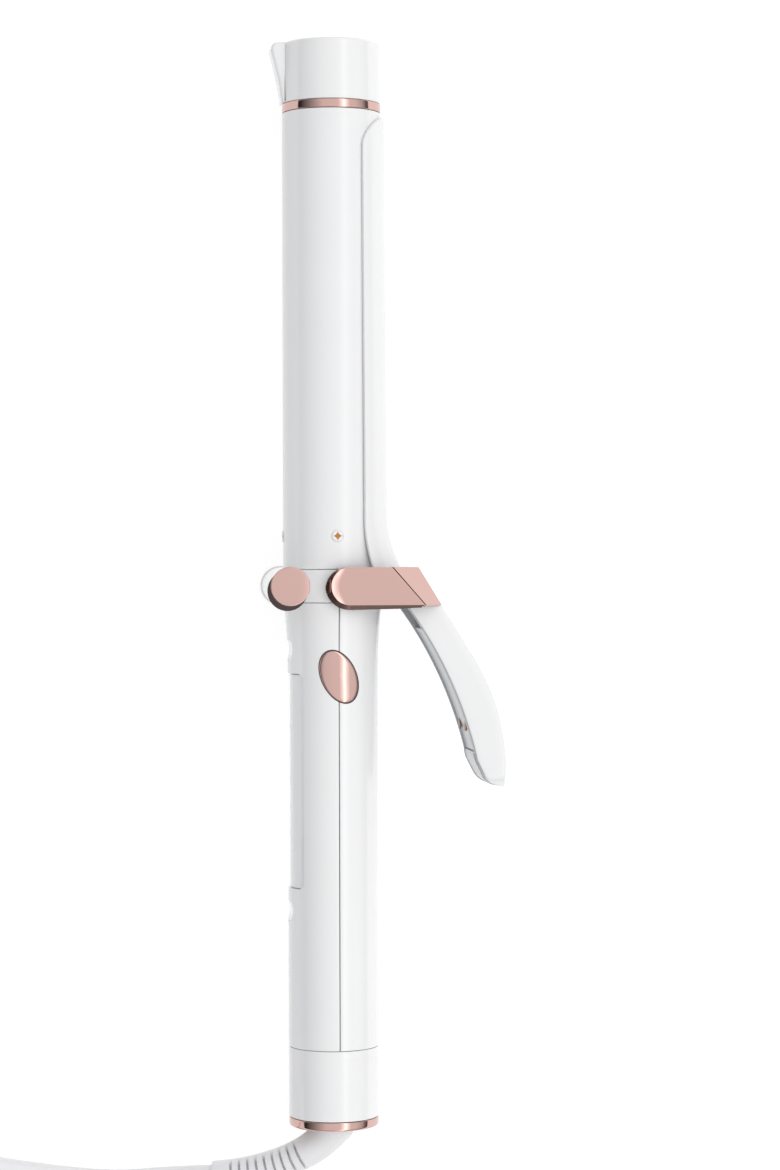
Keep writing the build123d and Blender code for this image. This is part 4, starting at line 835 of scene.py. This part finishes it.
cover_x = cover_end + cover_run
cover_inside = cover_half - np.hypot(np.minimum(cover_x - pivot_x, 0.0), cover_t)
cover_end_rows = np.stack([cover_x, cover_level + rim_lift(cover_x, cover_inside)], axis=-1)
cover_near = folds(
    (cover_fold, cover_level),
    (cover_fold + cover_flat, cover_level - cover_flat_drop),
    (cover_front, cover_face_half),
)
cover_near = [cover_end_rows[-1], *cover_near]
cover_path = cover_near + [line * (1, -1) for line in cover_near[::-1]]
cover_rows = np.concatenate([
    cover_end_rows,
    *(eased(*cover_path[k:k + 3], bend) for k, bend in enumerate(cover_bends)),
    cover_end_rows[::-1] * (1, -1),
])
cover_grid = points(cover_rows[..., 0], cover_t, cover_rows[..., 1])
hinge_band = skin("hinge_band", cover_grid[::-1], rose_gold, "clamp", "rose_gold", ["hinge_cover"], False)
thickened(hinge_band, cover_wall - cover_dish, 0.3)

# The side plates' edge is turned down and out in a bevel, widest round the pivot and towards the
# handle, where it hides the gap over the collar.


def direction(turn):
    """Unit direction of an angle."""
    return np.stack([np.cos(turn), np.sin(turn)], axis=-1)


bevel_angle, bevel_end, bevel_steps, bevel_lip = np.linspace(100.0, 270.0, 60), 26.4, 40, 0.12
bevel_turn = np.radians(bevel_angle)
bevel_line = np.r_[
    (pivot_x, 0.0) + cover_half * direction(bevel_turn),
    np.c_[np.linspace(pivot_x + 0.6, bevel_end, bevel_steps), np.full(bevel_steps, -cover_half)],
]
bevel_away = np.r_[direction(bevel_turn), np.tile([0.0, -1.0], (bevel_steps, 1))]
bevel_wide = np.r_[
    np.interp(bevel_angle, [100, 150, 185, 270], [0.05, 1.1, 1.8, 1.5]),
    np.interp(np.arange(bevel_steps), [0, 26, 39], [1.5, 1.2, 0.8]),
][:, None]
bevel_slope = np.r_[np.interp(bevel_angle, [185, 270], [1.06, 0.92]), np.full(bevel_steps, 0.92)][:, None]
bevel_steep = bevel_slope * np.maximum(bevel_wide, 0.5)
section_out, section_down = np.array([
    (-0.9, 0.35), (-0.25, 0.02), (0.0, bevel_lip), (1.0, 1.12), (1.0, 1.9), (-0.6, 1.9)
]).T
bevel_out = np.where(section_out > 0, section_out * bevel_wide, section_out)
bevel_down = np.where(section_down > 1, bevel_lip + (section_down - bevel_lip) * bevel_steep, section_down)
bevel_xy = bevel_line[:, None] + bevel_out[..., None] * bevel_away[:, None]
bevel_level = cover_level + rim_lift(bevel_line[:, :1], 0.0)
bevel_grid = points(bevel_xy[..., 0], bevel_xy[..., 1], bevel_level - bevel_down)[:, ::-1]
pair("hinge_bevel", bevel_grid, rose_gold, "clamp", "rose_gold", caps=(True, True), crease=15.0)

# The thumb lever is a hollow white bar that curves away from the handle, with flat sides, soft
# edges and a tip that is rounded across. Its inner side is painted grey for the shade it lies in,
# with a hollow open at the root.
lever_bend, lever_half, lever_plan, lever_edge, lever_wall = 68.5, 12.6, 8.0, 1.0, 2.2
lever_high, lever_bend_high, lever_deepest, hollow_end = -4.0, -23.3, 10.9, -53.6
lever_start = np.array([face_offset - face_slope * lever_bend_high, lever_bend_high])
lever_centre = lever_start - lever_bend * direction(face_turn)
lever_end = lever_centre + (lever_bend, 0.0)
lever_tip = lever_end[1] - 5.3
lever_low = np.array([lever_end[0] - 0.7, lever_tip])
lever_chin = lever_end + (-9.7, 3.4)
lever_root = np.array([20.6, lever_high])
lever_top = np.array([face_offset - face_slope * lever_high, lever_high])
lever_middle = lever_centre + (lever_bend - lever_deepest) * direction(face_turn / 2)


def arc_through(a, b, c, count):
    """Points on the circle through three points, evenly by angle from the first to the last."""
    centre = np.linalg.solve(2 * np.array([b - a, c - a]), [b @ b - a @ a, c @ c - a @ a])
    turn = np.unwrap([math.atan2(*(p - centre)[::-1]) for p in (a, b, c)])
    angles = np.linspace(turn[0], turn[2], count)
    return centre + norm(a - centre) * direction(angles)


def evenly(line, count):
    """Points spread evenly along a line by its length."""
    run = np.r_[0, np.cumsum(norm(np.diff(line, axis=0), axis=1))]
    at = np.linspace(0, run[-1], count)
    return np.stack([np.interp(at, run, line[:, k]) for k in range(line.shape[1])], axis=-1)


lever_arc = lever_centre + lever_bend * direction(np.linspace(face_turn, 0.0, 60))
lever_nose = rounded([lever_end, (lever_end[0] + 0.05, lever_tip), lever_low], [0.5], 8)
lever_inner_arc = arc_through(lever_root, lever_middle, lever_chin, 80)
lever_jaw = rounded([lever_chin, lever_end + (-6.0, -4.2), lever_low], [6.0], 14)
lever_o = evenly(np.vstack([lever_top, lever_arc, lever_nose[1:]]), 180)
lever_i = evenly(np.vstack([lever_inner_arc, lever_jaw[1:]]), 180)
lever_deep = norm(lever_i - lever_o, axis=1)[:, None]
lever_way = (lever_i - lever_o) / np.maximum(lever_deep, 1e-6)
hollow_share = held(lever_i[:, 1:] - hollow_end)
hollow_floor = lever_deep - hollow_share**2 * (3 - 2 * hollow_share) * (lever_deep - lever_wall)
quarter = np.linspace(0, np.pi / 2, 6)
edge_out, edge_in = lever_edge * (1 - np.sin(quarter)), lever_edge * (1 - np.cos(quarter))
# Columns of the section: share of the depth, share of the hollow's floor, a shift inwards, share of the
# width and a shift aside.
lever_half_section = np.vstack([
    np.c_[np.zeros((3, 3)), [0.0, 0.5, 0.8], np.zeros(3)],
    np.c_[np.zeros((6, 2)), edge_in, np.ones(6), -edge_out],
    np.c_[[0.3, 0.7], np.zeros((2, 2)), np.ones(2), np.zeros(2)],
    np.c_[np.ones(6), np.zeros(6), -edge_out, np.ones(6), -edge_in],
    [[1, 0, 0, 1, 0.15 - lever_wall], [1, 0, -0.15, 1, -lever_wall], [0, 1, 0.3, 1, -lever_wall]],
    [[0, 1, 0, 1, -0.3 - lever_wall], [0, 1, 0, 0.5, 0], [0, 1, 0, 0, 0]],
])
lever_other_half = lever_half_section[-2:0:-1] * (1, 1, 1, -1, -1)
by_depth, by_floor, shift_in, by_width, shift_side = np.vstack([lever_half_section, lever_other_half]).T
lever_small = np.minimum(1.0, lever_deep / 4.0)
lever_d = by_depth * lever_deep + by_floor * hollow_floor + shift_in * lever_small
lever_xy = lever_o[:, None] + lever_way[:, None] * lever_d[..., None]
lever_drop = np.clip(lever_plan - (lever_xy[..., 1] - lever_tip + 0.6), 0.0, lever_plan)
lever_width = lever_half - lever_plan + np.sqrt(lever_plan**2 - lever_drop**2)
lever_z = by_width * lever_width + shift_side * lever_small
lever_grid = points(lever_xy[..., 0], lever_xy[..., 1], lever_z)
lever_bar = skin(
    "lever_bar", lever_grid, shell_white, "clamp", "white_gloss", ["thumb_lever"], caps=(True, False)
)
# Painted shade: the lever's inner faces and its plate take a mid grey for the shade they lie in.
painted_shade_grey = moulded("painted_shade_grey", (0.48, 0.49, 0.51), 0.3, 0.2)
lever_bar.data.materials.append(painted_shade_grey)
lever_inside = np.abs(np.arange(len(by_depth)) + 0.5 - len(lever_half_section) + 1) < 9
lever_shade_faces = np.r_[np.tile(lever_inside, len(lever_o) - 1), False].astype(np.int32)
lever_bar.data.polygons.foreach_set("material_index", lever_shade_faces)

# The lever's inner side is closed by a thin plate, painted grey for the shade it lies in, sunk a
# little between its walls and held by two small screws.
liner_sunk, liner_thick, liner_half, liner_high = 0.6, 1.8, 10.25, -14.1
liner_span = (lever_inner_arc[:, 1] < liner_high) & (lever_inner_arc[:, 1] > hollow_end)
liner_line = evenly(lever_inner_arc[liner_span], 70)
liner_corners = [
    (0, -liner_half), (0, liner_half), (liner_thick, liner_half), (liner_thick, -liner_half)
]
liner_section = looped((liner_thick / 2, -liner_half), liner_corners, [0.35, 0.35, 0.2, 0.2], 4)
liner_xy = liner_line[:, None] - outward(liner_line)[:, None] * (liner_sunk + liner_section[None, :, :1])
liner_grid = points(liner_xy[..., 0], liner_xy[..., 1], liner_section[:, 1])[:, ::-1]
skin("lever_plate", liner_grid, painted_shade_grey, "clamp", "white_gloss", ["lever_liner"], caps=(True, True))
browned_steel = grained(
    "browned_steel", (0.20, 0.11, 0.09), (0.28, 0.16, 0.13), 0.3, 600.0, Metallic=1.0
)
dress(browned_steel, "lever_screws")

# The inner pieces keep their CAD shape: springs, pins, rivets and brackets of steel, a cast core
# round a ceramic heater, moulded insulators, and a board with two push switches.
# Each row: name, two colours, roughness, scale of the grain, how metallic, and its nodes.
inner_finishes = (
    ("spring_steel", (0.50, 0.50, 0.51), (0.60, 0.60, 0.61), 0.25, 400.0, 1.0, (
        "hinge_bracket", "hinge_pins", "hinge_springs", "clamp_rivets",
        "handle_screws", "circuit_screws", "rest_bar_screw", "thermal_fuse",
    )),
    ("cast_core", (0.62, 0.63, 0.64), (0.70, 0.71, 0.72), 0.4, 250.0, 1.0, (
        "heater_core_front", "heater_core_back",
    )),
    ("fired_clay", (0.80, 0.78, 0.73), (0.72, 0.70, 0.66), 0.6, 500.0, 0.0, ("ceramic_heater",)),
    ("heat_moulding", (0.55, 0.52, 0.46), (0.48, 0.45, 0.40), 0.5, 500.0, 0.0, ("tip_plug", "swivel_stem")),
    ("board_green", (0.02, 0.16, 0.07), (0.03, 0.22, 0.10), 0.35, 300.0, 0.0, ("circuit_board",)),
    ("black_moulding", (0.015, 0.015, 0.016), (0.03, 0.03, 0.032), 0.4, 600.0, 0.0, ("press_switches",)),
)
for *looks, metal, inner_nodes in inner_finishes:
    dress(grained(*looks, Metallic=metal), *inner_nodes)
dress(white_cord, "heater_leads")

# The iron lies on a plain white light table, brighter to the right, under a soft sky: bright
# overhead with a long lamp along the iron's right, dim to the left and dark at the horizon.
table_half, dim_side, brighten = 30, 0.03, 11.0
table_corners = [(table_half * x, table_half * y, 0) for x, y in ((-1, -1), (1, -1), (1, 1), (-1, 1))]
table_mesh = bpy.data.meshes.new("table")
table_mesh.from_pydata(table_corners, [], [(0, 1, 2, 3)])
table = placed("table", table_mesh)
table_finish = Finish("pale_table", Emission_Strength=0.9)
table_cloud = table_finish.noise(3.0)
table_aside = table_finish.node("SeparateXYZ", {}, {0: table_finish.where()}, "X")
table_share = table_finish.node("Clamp", {}, {"Value": (table_aside + dim_side) * brighten})
table_mesh.materials.append(table_finish.shade(
    Base_Color=table_finish.mix(table_cloud, (0.28, 0.28, 0.28), (0.30, 0.30, 0.30)),
    Emission_Color=table_finish.mix(table_share, (0.86, 0.86, 0.86), (1.0, 1.0, 1.0)),
    Roughness=0.6 + 0.1 * table_cloud,
))
sky = Finish("studio", sky=bpy.data.worlds.new("studio"))
sky_way = sky.node("TexCoord", {}, {}, "Generated")
sky_up = sky.node("SeparateXYZ", {}, {0: sky_way}, "Z")
sky_aside = sky.node("SeparateXYZ", {}, {0: sky_way}, "X")
strip_turn = math.radians(24.0)
strip_way = (math.cos(strip_turn), 0.0, -math.sin(strip_turn))
sky_strip = sky.node(
    "VectorMath", {"operation": "DOT_PRODUCT"}, {0: sky_way, 1: strip_way}, "Value"
)


def greys(share, *levels):
    """Grey of the sky by a share, between levels at given places."""
    stops = [(place, (level, level, level, 1.0)) for place, level in levels]
    return sky.node("ValToRGB", {"stops": stops}, {"Fac": share})


sky_dome = greys(sky_up, (0.0, 0.11), (0.12, 0.13), (0.32, 0.6), (0.6, 0.92), (1.0, 1.0))
sky_side = greys(0.5 + 0.5 * sky_aside, (0.0, 0.2), (0.12, 0.5), (0.28, 0.92), (0.5, 0.97), (0.8, 1.0))
sky_glow = greys(0.5 + 0.5 * sky_strip, (0.38, 0.0), (0.45, 0.35), (0.5, 1.0), (0.55, 0.35), (0.62, 0.0))
bpy.context.scene.world = sky.shade(
    Color=sky.mix(sky_side, (0.95, 0.98, 1.03), (1.0, 1.0, 1.0)),
    Strength=sky_dome * (1.08 * sky_side + 1.9 * sky_glow),
)
bpy.context.scene.view_settings.view_transform = "Standard"
